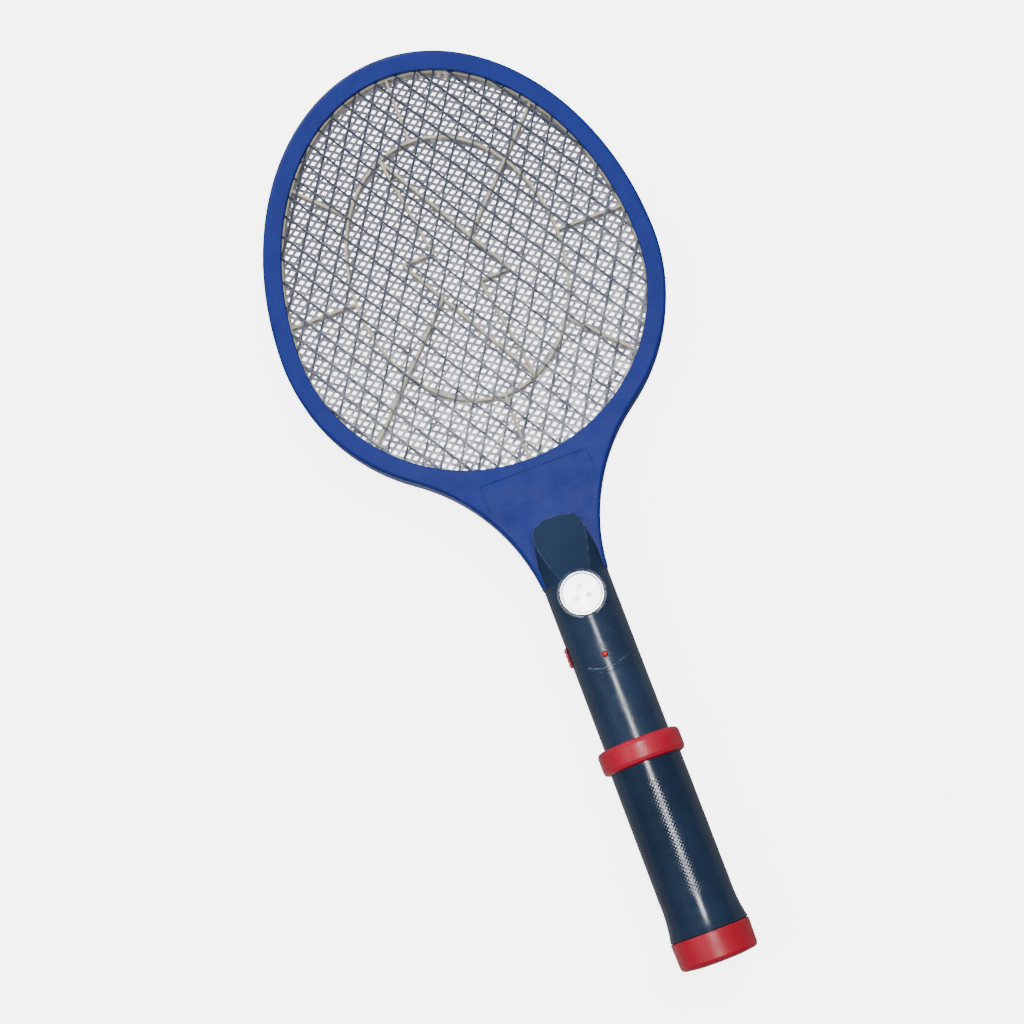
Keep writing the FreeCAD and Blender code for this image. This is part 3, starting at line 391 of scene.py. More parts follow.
# Rubbed metal: fine scratches and tarnish, used on every bare or plated metal piece.
rubbed_metal, given, out = new_group(
    "rubbed_metal",
    [("Place", "Vector", None), ("Scratch Size", "Float", 0.0006)],
    [("Scratch", "Float"), ("Tarnish", "Float")],
)
stretch = put(rubbed_metal, "ShaderNodeVectorMath", operation="MULTIPLY")
feed(rubbed_metal, stretch.inputs[0], given["Place"])
stretch.inputs[1].default_value = (1.0, 0.12, 1.0)
scratch_scale = maths(rubbed_metal, "DIVIDE", 1.0, given["Scratch Size"])
scratch = noise_at(rubbed_metal, stretch.outputs[0], scratch_scale, 4.0, 0.65)
feed(rubbed_metal, out["Scratch"], scratch)
tarnish = noise_at(rubbed_metal, given["Place"], 130.0, 4.0, 0.6)
feed(rubbed_metal, out["Tarnish"], fade(rubbed_metal, tarnish, 0.4, 0.66))


def metal(name, colour, tarnish_and_shade_colour, gloss, scratch_size=0.0006, relief=0.00001, rounding=0.0002):
    """Plated or bare metal, duller where it has tarnished."""
    material, tree, shader = new_material(name)
    place = own_place(tree)
    surface = place_group(tree, rubbed_metal, Place=place, Scratch_Size=scratch_size)
    edge = place_group(tree, rounded_edge_wear_and_highlight, Place=place, Rounding=rounding)
    feed(tree, shader["Base Color"], between(tree, surface["Tarnish"], colour, tarnish_and_shade_colour))
    feed(tree, shader["Roughness"], scaled(tree, surface["Scratch"], gloss[1] - gloss[0], gloss[0]))
    bumped(tree, shader, surface["Scratch"], relief, edge["Normal"])
    shader["Metallic"].default_value = 1.0
    return material


screw_steel = metal("screw_steel", (0.56, 0.56, 0.54, 1), (0.42, 0.4, 0.34, 1), (0.22, 0.42))

# Screw sizes are head radius, head height, shank radius and shank length.
axis_level = 0.022
head_centre = 0.113
boss_reach, boss_top_reach = 0.1004, 0.1361
frame_seat = axis_level - 0.005
frame_screw = (0.0021, 0.0016, 0.0011, 0.009)
frame_seats = []
for angle in (20, 65, 115, 160, 202, 242, 298, 338):
    turn = math.radians(angle)
    rise = boss_top_reach if math.sin(turn) > 0 else boss_reach
    x, y = boss_reach * math.cos(turn), head_centre + rise * math.sin(turn)
    frame_seats.append((x, y, frame_seat, frame_screw))
neck_screw_x, neck_screw_y = 0.019, -0.006
for x in (-neck_screw_x, neck_screw_x):
    frame_seats.append((x, neck_screw_y, frame_seat, frame_screw))
screw_group("frame_screw_set", frame_seats, "frame_screws")

long_screw = (0.0023, 0.0018, 0.0011, 0.025)
side_screw = (0.0023, 0.0018, 0.0011, 0.0145)
handle_seats = [
    (0.0, -0.073, axis_level - 0.014, long_screw),
    (0.0122, -0.102, axis_level - 0.008, side_screw),
    (-0.0122, -0.126, axis_level - 0.008, side_screw),
]
screw_group("handle_screw_set", handle_seats, "handle_screws")
lock_screw = (0.0019, 0.001, 0.00095, 0.0042)
lock_y = -0.155
screw_group("grip_lock_screw", [(0.0, lock_y, axis_level - 0.01785, lock_screw)], "grip_screw")

# ---------------------------------------------------------------- wire nets
# Three live nets of plated steel wire, each two crossed combs with a border wire and a tab: coarse
# ones in front and behind, with a weld bead at each crossing, and a fine flat one between them.


def net_wire(name, colour, tarnish_and_shade_colour, gloss, scratch_size):
    """Net steel, plated and tarnished, with painted shade: darker towards the tip of the head and brighter by
    the neck.
    """
    material = metal(name, colour, tarnish_and_shade_colour, gloss, scratch_size, rounding=0.00005)
    tree, shader = material.node_tree, shader_of(material)
    forward = split(tree, own_place(tree))["Y"]
    tarnished = shader["Base Color"].links[0].from_socket
    # Painted shade: the wires darken from the neck towards the tip of the head.
    painted_shade_toward_tip = fade(tree, forward, 0.02, 0.2)
    feed(tree, shader["Base Color"], between(tree, painted_shade_toward_tip, tarnished, tarnish_and_shade_colour))
    shader["Metallic"].default_value = 0.4
    return material


# The second colour of each net is its tarnish and also the painted shade it takes towards the tip.
outer_steel = net_wire("net_steel", (0.22, 0.24, 0.28, 1), (0.05, 0.062, 0.09, 1), (0.4, 0.55), 0.0004)
weld_steel = net_wire("weld_steel", (0.55, 0.56, 0.60, 1), (0.30, 0.32, 0.38, 1), (0.4, 0.55), 0.0004)
fine_steel = net_wire("fine_net_steel", (0.60, 0.60, 0.66, 1), (0.20, 0.20, 0.255, 1), (0.45, 0.6), 0.0003)
open_half, open_top = 0.095, 0.1307
rim_grip = 0.0016
border_steps, border_section = 240, (0.0006, 0.0004)
tab_long, tab_section = 0.0085, (0.0012, 0.0002)


def chord(offset, slope):
    """Ends of a straight wire across the egg-shaped net, or None where it misses."""
    way = Vector((math.cos(slope), math.sin(slope)))
    across = Vector((-way.y, way.x)) * offset
    hits = []
    half = open_half + rim_grip
    for tall, upper in ((open_top + rim_grip, True), (half, False)):
        a = (way.x / half) ** 2 + (way.y / tall) ** 2
        b = 2 * (across.x * way.x / half ** 2 + across.y * way.y / tall ** 2)
        c = (across.x / half) ** 2 + (across.y / tall) ** 2 - 1
        inside = b * b - 4 * a * c
        if inside <= 0:
            continue
        for sign in (-1, 1):
            point = across + way * ((-b + sign * math.sqrt(inside)) / (2 * a))
            if (point.y >= 0) == upper:
                hits.append(point)
    return hits if len(hits) == 2 else None


def add_wire(points, faces, path, half_wide, half_tall, sides, closed=False):
    """A wire of oval section along a path of points that stays in one level plane."""
    start = len(points)
    count = len(path)
    for index, spot in enumerate(path):
        if closed:
            run = path[(index + 1) % count] - path[index - 1]
        else:
            run = path[min(index + 1, count - 1)] - path[max(index - 1, 0)]
        side_way = Vector((-run.y, run.x, 0)).normalized()
        for side in range(sides):
            turn = 2 * math.pi * (side + 0.5) / sides
            up = Vector((0, 0, half_tall * math.sin(turn)))
            points.append(spot + side_way * half_wide * math.cos(turn) + up)
    faces.extend(ring_faces(start, count, sides, closed))
    if not closed:
        faces.append(tuple(start + side for side in reversed(range(sides))))
        faces.append(tuple(start + (count - 1) * sides + side for side in range(sides)))


def add_weld(points, faces, spot, radius, flat):
    """A small flattened bead where two wires cross."""
    start = len(points)
    corners = 10
    for level in (-0.75, 0.0, 0.75):
        ring = radius * math.sqrt(1 - level * level)
        for side in range(corners):
            turn = 2 * math.pi * side / corners
            points.append(spot + Vector((ring * math.cos(turn), ring * math.sin(turn), level * flat)))
    faces.extend(ring_faces(start, 3, corners))
    faces.append(tuple(start + side for side in reversed(range(corners))))
    faces.append(tuple(start + 2 * corners + side for side in range(corners)))


def wire_net(name, node, tab_x, pitch, degrees, section, levels, sides, steel, shift=(0.0, 0.0), weld=None):
    """A net of two crossed combs of wire, with its border wire, its tab and its welds."""
    points, faces = [], []
    slope = math.radians(degrees)
    reach = int(0.2 / pitch)
    offsets = {}
    for level, turn in zip(levels, (slope, -slope)):
        moved = -math.sin(turn) * shift[0] + math.cos(turn) * shift[1]
        offsets[turn] = [(step + 0.5) * pitch + moved for step in range(-reach, reach + 1)]
        for offset in offsets[turn]:
            ends = chord(offset, turn)
            if ends:
                path = [Vector((end.x, head_centre + end.y, level)) for end in ends]
                add_wire(points, faces, path, *section, sides)
    middle = sum(levels) / 2
    border = []
    for step in range(border_steps):
        turn = 2 * math.pi * step / border_steps
        tall = open_top if math.sin(turn) > 0 else open_half
        x = (open_half + rim_grip) * math.cos(turn)
        border.append(Vector((x, head_centre + (tall + rim_grip) * math.sin(turn), middle)))
    add_wire(points, faces, border, *border_section, 8, closed=True)
    foot = head_centre - open_half - rim_grip
    tab = [Vector((tab_x, foot + 0.0004, middle)), Vector((tab_x, foot - tab_long, middle))]
    add_wire(points, faces, tab, *tab_section, 8)
    parts = [(piece_from(name + "_wires", points, faces, 50.0), steel)]
    if weld:
        points, faces = [], []
        for u in offsets[slope]:
            for v in offsets[-slope]:
                x = (v - u) / (2 * math.sin(slope))
                y = (u + v) / (2 * math.cos(slope))
                tall = open_top if y > 0 else open_half
                if (x / open_half) ** 2 + (y / tall) ** 2 < 0.998:
                    add_weld(points, faces, Vector((x, head_centre + y, middle)), *weld)
        parts.append((piece_from(name + "_welds", points, faces, 50.0), weld_steel))
    net = merged(name, parts, 50.0)
    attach(net, "swatter")
    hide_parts(node)


# Net sizes are pitch, angle in degrees, and half the wire's width and height.
outer_size = (0.00976, 58.3, (0.00055, 0.00042))
fine_size = (0.00364, 36.0, (0.00088, 0.00022))
weld_size = (0.0009, 0.00046)
tab_x = 0.007
near_comb, far_comb = 0.00384, 0.00396
fine_comb = 0.0001
front_levels = (axis_level + near_comb, axis_level + far_comb)
rear_levels = (axis_level - near_comb, axis_level - far_comb)
fine_levels = (axis_level - fine_comb, axis_level + fine_comb)
wire_net("front_net", "front_grid", tab_x, *outer_size, front_levels, 12, outer_steel, weld=weld_size)
wire_net(
    "rear_net", "rear_grid", tab_x, *outer_size, rear_levels, 12, outer_steel,
    shift=(0.0002, 0.0024), weld=weld_size,
)
wire_net("centre_net", "centre_grid", -tab_x, *fine_size, fine_levels, 8, fine_steel)
tinned_copper = metal("tinned_copper", (0.72, 0.71, 0.68, 1), (0.5, 0.46, 0.4, 1), (0.25, 0.45))
finish_node("grid_link", tinned_copper)

# ---------------------------------------------------------------- net spacers
# Two ribbed mouldings in unpainted pale plastic that hold the three nets apart. They have a thin
# rim, an oval ring, spokes, and a plain zigzag figure in the middle, and lie loose in the frame.

pale_plastic = moulded(
    "pale_plastic", paint(172, 166, 147), paint(158, 152, 133), (0.45, 0.62), 0.0006, 0.00003,
    rounding=0.0006, rubbed_and_highlight=paint(182, 178, 162),
)
shader = shader_of(pale_plastic)
shader["Subsurface Weight"].default_value = 0.08
shader["Subsurface Radius"].default_value = (0.0012, 0.0011, 0.0009)
finish_node("front_spacer", pale_plastic)
finish_node("rear_spacer", pale_plastic)

# ---------------------------------------------------------------- handle covers
# Front and rear halves of the upper handle, navy ABS with a polished finish. The tongue that
# laps over the neck is left matt. A raised crescent below the indicator is part of the moulding.

# The pale edge colour and its large share are wear and also a painted highlight along the tongue's rim.
navy_abs = moulded(
    "navy_abs", paint(27, 43, 66), paint(23, 37, 58), (0.2, 0.3), 0.0009, 0.000012,
    rounding=0.0008, rubbed_and_highlight=paint(112, 136, 166), wear_and_highlight=0.55, joint=True,
)
tree, shader = navy_abs.node_tree, shader_of(navy_abs)
place = own_place(tree)
forward = split(tree, place)["Y"]
matt = fade(tree, forward, -0.052, -0.048)
clean = shader["Roughness"].links[0].from_socket
feed(tree, shader["Roughness"], maths(tree, "ADD", clean, maths(tree, "MULTIPLY", matt, 0.26)))
feed(tree, shader["Specular IOR Level"], maths(tree, "SUBTRACT", 0.5, maths(tree, "MULTIPLY", matt, 0.4)))
finish_node("front_cover", navy_abs)
finish_node("rear_cover", navy_abs)

# ---------------------------------------------------------------- lamp
# A glossy white lamp in the front of the handle: a plated brass bezel, a clear moulded lens with
# fine rings inside, a bright reflector cup with three white LEDs, and their small board.

bezel_chrome = metal(
    "bezel_chrome", (0.6, 0.61, 0.63, 1), (0.46, 0.47, 0.49, 1), (0.1, 0.24), rounding=0.0003,
)
finish_node("lamp_bezel", bezel_chrome)

lamp_y = -0.0592
turret_level = axis_level + 0.0172
lens_radius = 0.01015
led_reach = 0.0036
dome_steps = 12
dome = [(0.0, turret_level + 0.00085)]
for step in range(1, dome_steps + 1):
    share = step / dome_steps
    dome.append((lens_radius * share, turret_level - 0.0001 + 0.00095 * (1 - share ** 2.2)))
lens_base = turret_level - 0.0016
ring_rise = 0.00012
ring_count = 6
ring_pitch = lens_radius * 0.94 / ring_count
under = [(lens_radius, lens_base)]
for ring in range(ring_count, 0, -1):
    under.append((ring_pitch * ring, lens_base))
    under.append((ring_pitch * (ring - 0.8), lens_base + ring_rise))
under.append((0.0, lens_base))
points, faces = lathe(dome + under, 96)
lens = piece_from("lamp_lens_moulding", points, faces, 25.0)
lens.data.transform(Matrix.Translation((0, lamp_y, 0)))
clear_lens, tree, shader = new_material("clear_lens")
place = own_place(tree)
haze = place_group(tree, mould_grain, Place=place, Grain_Size=0.0015)
feed(tree, shader["Base Color"], between(tree, haze["Drift"], (0.97, 0.98, 0.99, 1), (0.92, 0.94, 0.96, 1)))
feed(tree, shader["Roughness"], scaled(tree, haze["Smudge"], 0.1, 0.04))
shader["Transmission Weight"].default_value = 0.4
shader["IOR"].default_value = 1.49
across = split(tree, place)


def apart_from(tree, across, x, y):
    """Distance on the level from an upright line at x, y."""
    aside = maths(tree, "SUBTRACT", across["X"], x)
    along = maths(tree, "SUBTRACT", across["Y"], y)
    squares = maths(tree, "ADD", maths(tree, "MULTIPLY", aside, aside), maths(tree, "MULTIPLY", along, along))
    return maths(tree, "SQRT", squares)


# The lens glows white as a painted reflection of the studio light, not the lamp's own light: dimmer at its
# rim, with painted dark shadows over the three LEDs.
clear = fade(tree, apart_from(tree, across, 0.0, lamp_y), 0.0099, 0.0093)
for index in range(3):
    turn = math.radians(90 + 120 * index)
    led_place = (led_reach * math.cos(turn), lamp_y + led_reach * math.sin(turn))
    led_painted_shadow = fade(tree, apart_from(tree, across, *led_place), 0.0006, 0.0024)
    clear = maths(tree, "MULTIPLY", clear, led_painted_shadow)
feed(tree, shader["Emission Color"], between(tree, clear, (0.12, 0.12, 0.12, 1), (1.0, 1.0, 0.98, 1)))
shader["Emission Strength"].default_value = 2.4
lens.data.materials.append(clear_lens)
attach(lens, "swatter")
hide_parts("lamp_lens")

reflector_mirror = metal(
    "reflector_mirror", (0.93, 0.93, 0.92, 1), (0.86, 0.86, 0.85, 1), (0.12, 0.25), rounding=0.0002,
)
finish_node("lamp_reflector", reflector_mirror)


def epoxy(name, colour, core_colour, roughness):
    """Cast LED resin, a little cloudier in patches."""
    material, tree, shader = new_material(name)
    place = own_place(tree)
    surface = place_group(tree, mould_grain, Place=place, Grain_Size=0.0008)
    feed(tree, shader["Base Color"], between(tree, surface["Drift"], colour, core_colour))
    feed(tree, shader["Roughness"], scaled(tree, surface["Smudge"], 0.12, roughness))
    shader["IOR"].default_value = 1.5
    return material


white_led = epoxy("white_led", paint(240, 241, 236), paint(226, 224, 204), 0.12)
finish_node("lamp_leds", white_led)

# ---------------------------------------------------------------- collar, switch and cap
# Red ABS trim: a loose ring over the joint in the handle, the ribbed button of the slide switch,
# and the pull-off cap over the charging pins. All three are lightly grained, with soft edges.

red_abs = moulded(
    "red_abs", paint(160, 15, 41), paint(148, 12, 36), (0.3, 0.42), 0.0006, 0.00005,
    rounding=0.0005, rubbed_and_highlight=paint(186, 60, 76),
)
for name in ("collar_ring", "switch_knob", "end_cap"):
    finish_node(name, red_abs)

# ---------------------------------------------------------------- grip barrel
# Turned-shape navy ABS moulding that slides on the upper handle's spigot. A band of small raised
# diamonds is moulded into it for grip, and both ends are left smooth. It flares at the cap end.

grip_radius, grip_bore = 0.01885, 0.01685
grip_top, flare_start, grip_end = -0.146, -0.222, -0.2387
flare_radius, mouth_radius, mouth_start = 0.02075, 0.0184, -0.232
diamond_top, diamond_end = -0.1585, -0.2205
diamond_tall = 0.00007
diamonds_round = 64
diamond_long = 0.0021
flare_rise, flare_run = flare_radius - grip_radius, flare_start - grip_end
trumpet = (flare_run ** 2 + flare_rise ** 2) / (2 * flare_rise)


def grip_skin(y):
    """Radius of the barrel's plain outside at a place along it."""
    if y >= flare_start:
        return grip_radius
    return grip_radius + trumpet - math.sqrt(trumpet ** 2 - (flare_start - y) ** 2)


def diamond(y, turn):
    """Height of the moulded diamonds, from 0 to 1."""
    inside = min(diamond_top - y, y - diamond_end) / 0.003
    if inside <= 0:
        return 0.0
    along = math.pi * (y - diamond_end) / diamond_long
    round_way = diamonds_round * turn / 2
    crest = abs(math.sin(along + round_way)) * abs(math.sin(along - round_way))
    return min(inside, 1.0) * min(1.0, 1.6 * crest)


def cut_away(piece, points, faces):
    """Takes a closed shape out of a piece, for good."""
    tool = piece_from("tool", points, faces)
    carve = piece.modifiers.new("carve", "BOOLEAN")
    carve.operation = "DIFFERENCE"
    carve.solver = "EXACT"
    carve.object = tool
    settled = piece.evaluated_get(bpy.context.evaluated_depsgraph_get())
    mesh = bpy.data.meshes.new_from_object(settled)
    piece.modifiers.clear()
    piece.data = mesh
    bpy.data.objects.remove(tool)


sides = 512
rows = []
for y in (grip_end, grip_end + 0.0003):
    rows.append((y, grip_skin(y) - (0.0003 if y == grip_end else 0.0)))
plain_steps = 14
for step in range(1, plain_steps + 1):
    y = grip_end + 0.0003 + (diamond_end - grip_end - 0.0003) * step / plain_steps
    rows.append((y, grip_skin(y)))
band_steps = 180
for step in range(1, band_steps + 1):
    rows.append((diamond_end + (diamond_top - diamond_end) * step / band_steps, grip_radius))
rows += [(-0.152, grip_radius), (grip_top - 0.0002, grip_radius), (grip_top, grip_radius - 0.0002)]
inner = [(grip_top, grip_bore), (-0.19, grip_bore), (mouth_start, grip_bore), (mouth_start, mouth_radius)]
inner += [(grip_end + 0.0002, mouth_radius), (grip_end, mouth_radius + 0.0002)]
rows += inner
points = []
for y, radius in rows:
    for side in range(sides):
        turn = 2 * math.pi * side / sides
        raised = radius
        if radius > grip_radius - 0.0001 and diamond_end < y < diamond_top:
            raised += diamond_tall * diamond(y, turn)
        points.append((raised * math.sin(turn), y, axis_level + raised * math.cos(turn)))
barrel = piece_from("grip_moulding", points, ring_faces(0, len(rows), sides, closed=True))
hole_radius, hole_long, hole_top = 0.002, 0.01, 0.009
hole_profile = [(0.0, 0.0), (hole_radius, 0.0), (hole_radius, -hole_long), (0.0, -hole_long)]
hole, hole_faces = lathe(hole_profile, 40)
hole = [(x, y + lock_y, z + hole_top) for x, y, z in hole]
cut_away(barrel, hole, hole_faces)
barrel.data.shade_smooth()
barrel.data.set_sharp_from_angle(angle=math.radians(40))
grip_navy = moulded(
    "grip_navy", paint(20, 36, 58), paint(16, 30, 50), (0.17, 0.27), 0.0009, 0.000012,
    rounding=0.00025, rubbed_and_highlight=paint(56, 76, 102),
)
barrel.data.materials.append(grip_navy)
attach(barrel, "swatter")
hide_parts("grip_barrel")

# ---------------------------------------------------------------- charging plug
# Under the cap: a black ABS insert glued in the barrel's mouth, with two nickel-plated brass pins
# moulded into it.

black_abs = moulded(
    "black_abs", paint(30, 30, 31), paint(22, 22, 24), (0.35, 0.5), 0.0007, 0.00002,
    rubbed_and_highlight=paint(84, 84, 86),
)
finish_node("plug_insert", black_abs)
nickel_brass = metal(
    "nickel_brass", (0.74, 0.72, 0.66, 1), (0.66, 0.56, 0.36, 1), (0.14, 0.34), 0.0005,
)
finish_node("plug_pins", nickel_brass)

# ---------------------------------------------------------------- slide switch and indicator
# A small open-frame slide switch behind the button, black lever in a pressed steel shell, and a
# red LED that shows when the nets are live.

switch_steel = metal("switch_steel", (0.6, 0.6, 0.58, 1), (0.46, 0.45, 0.42, 1), (0.25, 0.45))
finish_node("switch_body", switch_steel)
finish_node("switch_lever", black_abs)
red_led = epoxy("red_led", paint(214, 30, 44), paint(180, 18, 32), 0.1)
shader_of(red_led)["Coat Weight"].default_value = 0.4
finish_node("indicator_led", red_led)

# ---------------------------------------------------------------- circuit
# A single-sided glass-epoxy board with the charger and the high-voltage step-up circuit: a small
# ferrite transformer, film capacitors, diodes on end, resistors and one transistor.


def printed_board(name):
    material, tree, shader = new_material(name)
    place = own_place(tree)
    weave = place_group(tree, mould_grain, Place=place, Grain_Size=0.0007)
    tracks = put(tree, "ShaderNodeTexBrick", offset=0.35, squash=1.6)
    tracks.inputs["Scale"].default_value = 150.0
    tracks.inputs["Mortar Size"].default_value = 0.16
    tracks.inputs["Mortar Smooth"].default_value = 0.1
    feed(tree, tracks.inputs["Vector"], place)
    mask = fade(tree, tracks.outputs["Fac"], 0.3, 0.7)
    laminate = between(tree, weave["Drift"], paint(26, 92, 48), paint(20, 76, 40))
    copper = maths(tree, "MULTIPLY", mask, 0.6)
    feed(tree, shader["Base Color"], between(tree, copper, laminate, paint(58, 128, 66)))
    feed(tree, shader["Roughness"], scaled(tree, weave["Smudge"], 0.15, 0.3))
    bumped(tree, shader, mask, 0.00004)
    return material


green_board = printed_board("green_board")
finish_node("main_board", green_board)
finish_node("lamp_board", green_board)
ferrite = moulded(
    "ferrite", paint(52, 50, 50), paint(40, 38, 39), (0.5, 0.7), 0.0005, 0.00003, rubbed_and_highlight=paint(96, 94, 92),
)
finish_node("transformer_core", ferrite)
finish_node("transformer_base", black_abs)


def wound_tape(name, colour, lap_colour):
    """Thin tape wound over a coil, its laps showing as faint bands."""
    material, tree, shader = new_material(name)
    place = own_place(tree)
    surface = place_group(tree, mould_grain, Place=place, Grain_Size=0.0006)
    laps = put(tree, "ShaderNodeTexWave", wave_type="BANDS", bands_direction="Z")
    laps.inputs["Scale"].default_value = 260.0
    laps.inputs["Distortion"].default_value = 0.8
    feed(tree, laps.inputs["Vector"], place)
    feed(tree, shader["Base Color"], between(tree, laps.outputs["Fac"], colour, lap_colour))
    feed(tree, shader["Roughness"], scaled(tree, surface["Smudge"], 0.2, 0.22))
    bumped(tree, shader, laps.outputs["Fac"], 0.00005)
    return material


finish_node("transformer_winding", wound_tape("winding_tape", paint(222, 178, 42), paint(196, 150, 30)))
dipped_finishes = {
    "hv_capacitor": ("film_green", paint(28, 110, 66), paint(20, 92, 54)),
    "charge_capacitor": ("film_yellow", paint(214, 160, 40), paint(196, 140, 30)),
    "rectifier_diodes": ("diode_black", paint(34, 34, 36), paint(24, 24, 26)),
    "transistor": ("transistor_black", paint(30, 30, 32), paint(22, 22, 24)),
}
for node, (name, colour, shade) in dipped_finishes.items():
    finish_node(node, moulded(name, colour, shade, (0.22, 0.36), 0.0012, 0.00003))


def banded_resistor(name, body_colour, bands):
    """Lacquered resistor, its colour bands given as (place along Y, colour)."""
    material, tree, shader = new_material(name)
    place = own_place(tree)
    surface = place_group(tree, mould_grain, Place=place, Grain_Size=0.0006)
    along = split(tree, place)["Y"]
    tint = between(tree, surface["Drift"], body_colour, paint(196, 160, 112))
    for spot, colour in bands:
        away = maths(tree, "ABSOLUTE", maths(tree, "SUBTRACT", along, spot))
        tint = between(tree, fade(tree, away, 0.0004, 0.00025), tint, colour)
    feed(tree, shader["Base Color"], tint)
    feed(tree, shader["Roughness"], scaled(tree, surface["Smudge"], 0.15, 0.25))
    return material


resistor_bands = [
    (-0.0982, paint(96, 52, 24)),
    (-0.0971, paint(20, 20, 20)),
    (-0.096, paint(190, 44, 30)),
    (-0.0949, paint(186, 150, 60)),
]
finish_node("resistors", banded_resistor("resistor_tan", paint(214, 180, 130), resistor_bands))

# ---------------------------------------------------------------- battery
# A sealed pair of cells in a shrink sleeve, held in the barrel between two foam pads, with
# spot-welded nickel tabs.

battery_case = moulded(
    "battery_case", paint(52, 112, 176), paint(44, 98, 160), (0.2, 0.34), 0.002, 0.00006,
    rubbed_and_highlight=paint(120, 160, 206),
)
finish_node("battery", battery_case)
finish_node("battery_tabs", nickel_brass)


def cell_foam(name, colour, pore_shade_colour):
    material, tree, shader = new_material(name)
    place = own_place(tree)
    pores = put(tree, "ShaderNodeTexVoronoi")
    pores.inputs["Scale"].default_value = 1400.0
    feed(tree, pores.inputs["Vector"], place)
    # The open pores are painted darker: painted shade in the cells that the bump sinks.
    open_pore = fade(tree, pores.outputs["Distance"], 0.55, 0.15)
    feed(tree, shader["Base Color"], between(tree, open_pore, colour, pore_shade_colour))
    feed(tree, shader["Roughness"], scaled(tree, open_pore, 0.1, 0.85))
    bumped(tree, shader, pores.outputs["Distance"], 0.0003)
    return material


def foam_pad(name, centre, half):
    """A cut strip of foam, squeezed: crowned on its faces, rounded, and drawn in along its sides."""
    work = bmesh.new()
    bmesh.ops.create_cube(work, size=2.0)
    bmesh.ops.subdivide_edges(work, edges=work.edges, cuts=9, use_grid_fill=True)
    for point in work.verts:
        u, v, w = point.co
        drawn = 1 - 0.05 * (1 - v * v) - 0.04 * v ** 8 - 0.03 * w ** 8
        crown = 0.84 + 0.16 * (1 - u ** 4) * (1 - v ** 6)
        ends = 1 - 0.015 * u ** 8 - 0.012 * w ** 8
        point.co = Vector((half.x * u * drawn, half.y * v * ends, half.z * w * crown))
    mesh = bpy.data.meshes.new(name)
    work.to_mesh(mesh)
    work.free()
    mesh.transform(Matrix.Translation(centre))
    return placed(name, mesh)


foam = cell_foam("foam", paint(58, 58, 60), paint(22, 22, 24))
pad_low, pad_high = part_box("battery_pads")
cell_low, cell_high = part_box("battery")
pads = []
for name, low, high in (("pad_rear", pad_low.z, cell_low.z), ("pad_front", cell_high.z, pad_high.z)):
    bottom, top = Vector((pad_low.x, pad_low.y, low)), Vector((pad_high.x, pad_high.y, high))
    pads.append((foam_pad(name, (bottom + top) / 2, (top - bottom) / 2), foam))
foam_pads = merged("foam_pads", pads, 70.0)
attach(foam_pads, "swatter")
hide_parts("battery_pads")

# ---------------------------------------------------------------- leads
# PVC-covered stranded wire, soldered at both ends: red to the nets and the lamp, black to the
# battery, the charging pins and the switch.

cover_finish = ((0.28, 0.42), 0.0008, 0.00003)
red_pvc = moulded("red_pvc", paint(188, 26, 32), paint(166, 20, 26), *cover_finish)
black_pvc = moulded("black_pvc", paint(26, 26, 28), paint(18, 18, 20), *cover_finish)
for name in ("grid_leads", "lamp_leads"):
    finish_node(name, red_pvc)
for name in ("battery_leads", "charge_leads", "switch_leads"):
    finish_node(name, black_pvc)

# ---------------------------------------------------------------- floor
# A wide sheet of white paper under the object, which glows to the camera alone. It is clear from
# below and lets the lamp underneath through, so that the rear of the object can be looked at too.

half_floor = 3.0
floor_corners = [(x * half_floor, y * half_floor, 0) for x, y in ((-1, -1), (1, -1), (1, 1), (-1, 1))]
floor = piece_from("floor", floor_corners, [(0, 1, 2, 3)])
floor_paper, tree, shader = new_material("floor_paper")
fibre = noise_at(tree, own_place(tree), 60.0, 4.0, 0.6)
ray = put(tree, "ShaderNodeLightPath").outputs
seen = ray["Is Camera Ray"]
paper = between(tree, fibre, (0.80, 0.80, 0.80, 1), (0.86, 0.86, 0.86, 1))
feed(tree, shader["Base Color"], between(tree, seen, (0.18, 0.18, 0.18, 1), paper))
shader["Roughness"].default_value = 0.9
feed(tree, shader["Emission Color"], between(tree, seen, (0, 0, 0, 1), (1, 1, 1, 1)))
shader["Emission Strength"].default_value = 4.6
from_below = put(tree, "ShaderNodeNewGeometry").outputs["Backfacing"]
unseen = maths(tree, "MAXIMUM", from_below, ray["Is Shadow Ray"])
feed(tree, shader["Alpha"], maths(tree, "SUBTRACT", 1.0, unseen))
floor.data.materials.append(floor_paper)
floor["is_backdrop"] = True

# ---------------------------------------------------------------- studio light
# A surround that is dim as light and pale as a backdrop, a broad soft box on each side, a
# narrow overhead lamp that draws the bright line along the handle, a small one past the tip that
# picks out the edges facing it, and one from below for the rear.

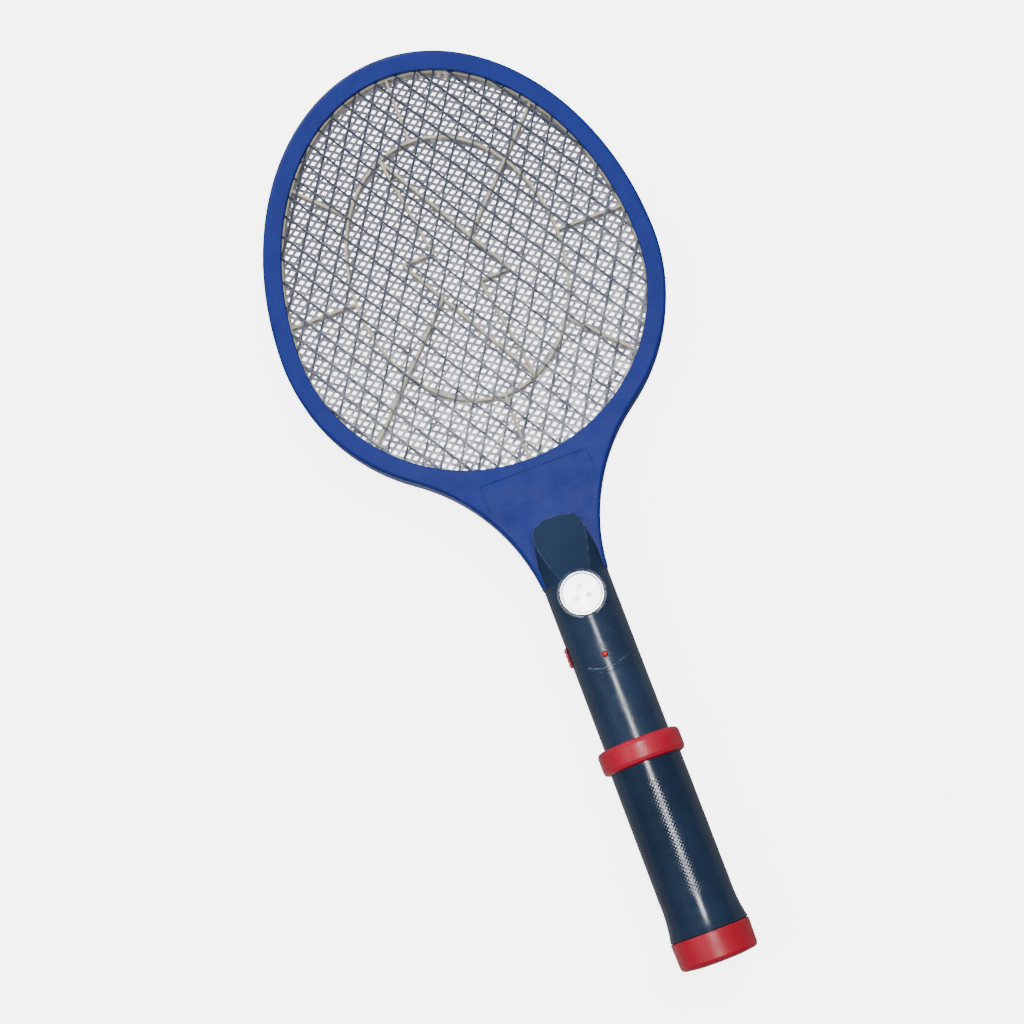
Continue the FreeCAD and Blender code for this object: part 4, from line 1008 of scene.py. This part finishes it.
surround = bpy.data.worlds.new("surround")
surround.use_nodes = True
tree = surround.node_tree
backdrop = tree.nodes["Background"].inputs
backdrop["Color"].default_value = (1.0, 1.0, 1.0, 1)
seen = put(tree, "ShaderNodeLightPath").outputs["Is Camera Ray"]
feed(tree, backdrop["Strength"], maths(tree, "ADD", maths(tree, "MULTIPLY", seen, 5.6), 0.18))
bpy.context.scene.world = surround


def soft_box(name, place, aim, wide, tall, watts):
    data = bpy.data.lights.new(name, "AREA")
    data.shape = "RECTANGLE"
    data.size, data.size_y = wide, tall
    data.energy = watts
    lamp = placed(name, data)
    lamp.location = place
    lamp.rotation_mode = "QUATERNION"
    lamp.rotation_quaternion = (Vector(aim) - Vector(place)).to_track_quat("-Z", "Y")
    lamp.visible_camera = False
    return lamp


soft_box("right_box", (0.8, 0.5, 1.5), (0, 0, 0), 0.9, 0.9, 26.0).visible_glossy = False
soft_box("left_box", (-1.0, -0.1, 1.1), (0, 0, 0), 0.8, 0.8, 14.0).visible_glossy = False
soft_box("line_lamp", (0.035, -0.13, 1.35), (0.035, -0.13, 0), 0.15, 0.5, 10.0)
soft_box("tip_lamp", (-0.2, 0.9, 0.36), (0, 0, 0), 0.7, 0.3, 6.0)
soft_box("rear_box", (-0.4, -0.5, -1.4), (0, 0, 0), 1.0, 1.0, 26.0)

# ---------------------------------------------------------------- camera
# Above the lamp side and beside the handle's end, with the head towards the upper left.

lens_mm = 73.0
camera_place = Vector((-0.0303, -0.2090, 1.0854))
look_at = Vector((-0.0185, -0.0039, 0.022))
head_lean = math.radians(20.675)

camera_data = bpy.data.cameras.new("camera")
camera_data.lens = lens_mm
camera_data.sensor_width = 36.0
camera = placed("camera", camera_data)
back = (camera_place - look_at).normalized()
length_way = Vector((0, 1, 0))
length_way = (length_way - back * length_way.dot(back)).normalized()
roll = Matrix.Rotation(-head_lean, 3, back)
up = roll @ length_way
right = up.cross(back)
camera.matrix_world = Matrix.Translation(camera_place) @ Matrix((right, up, back)).transposed().to_4x4()
bpy.context.scene.camera = camera

low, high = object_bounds()
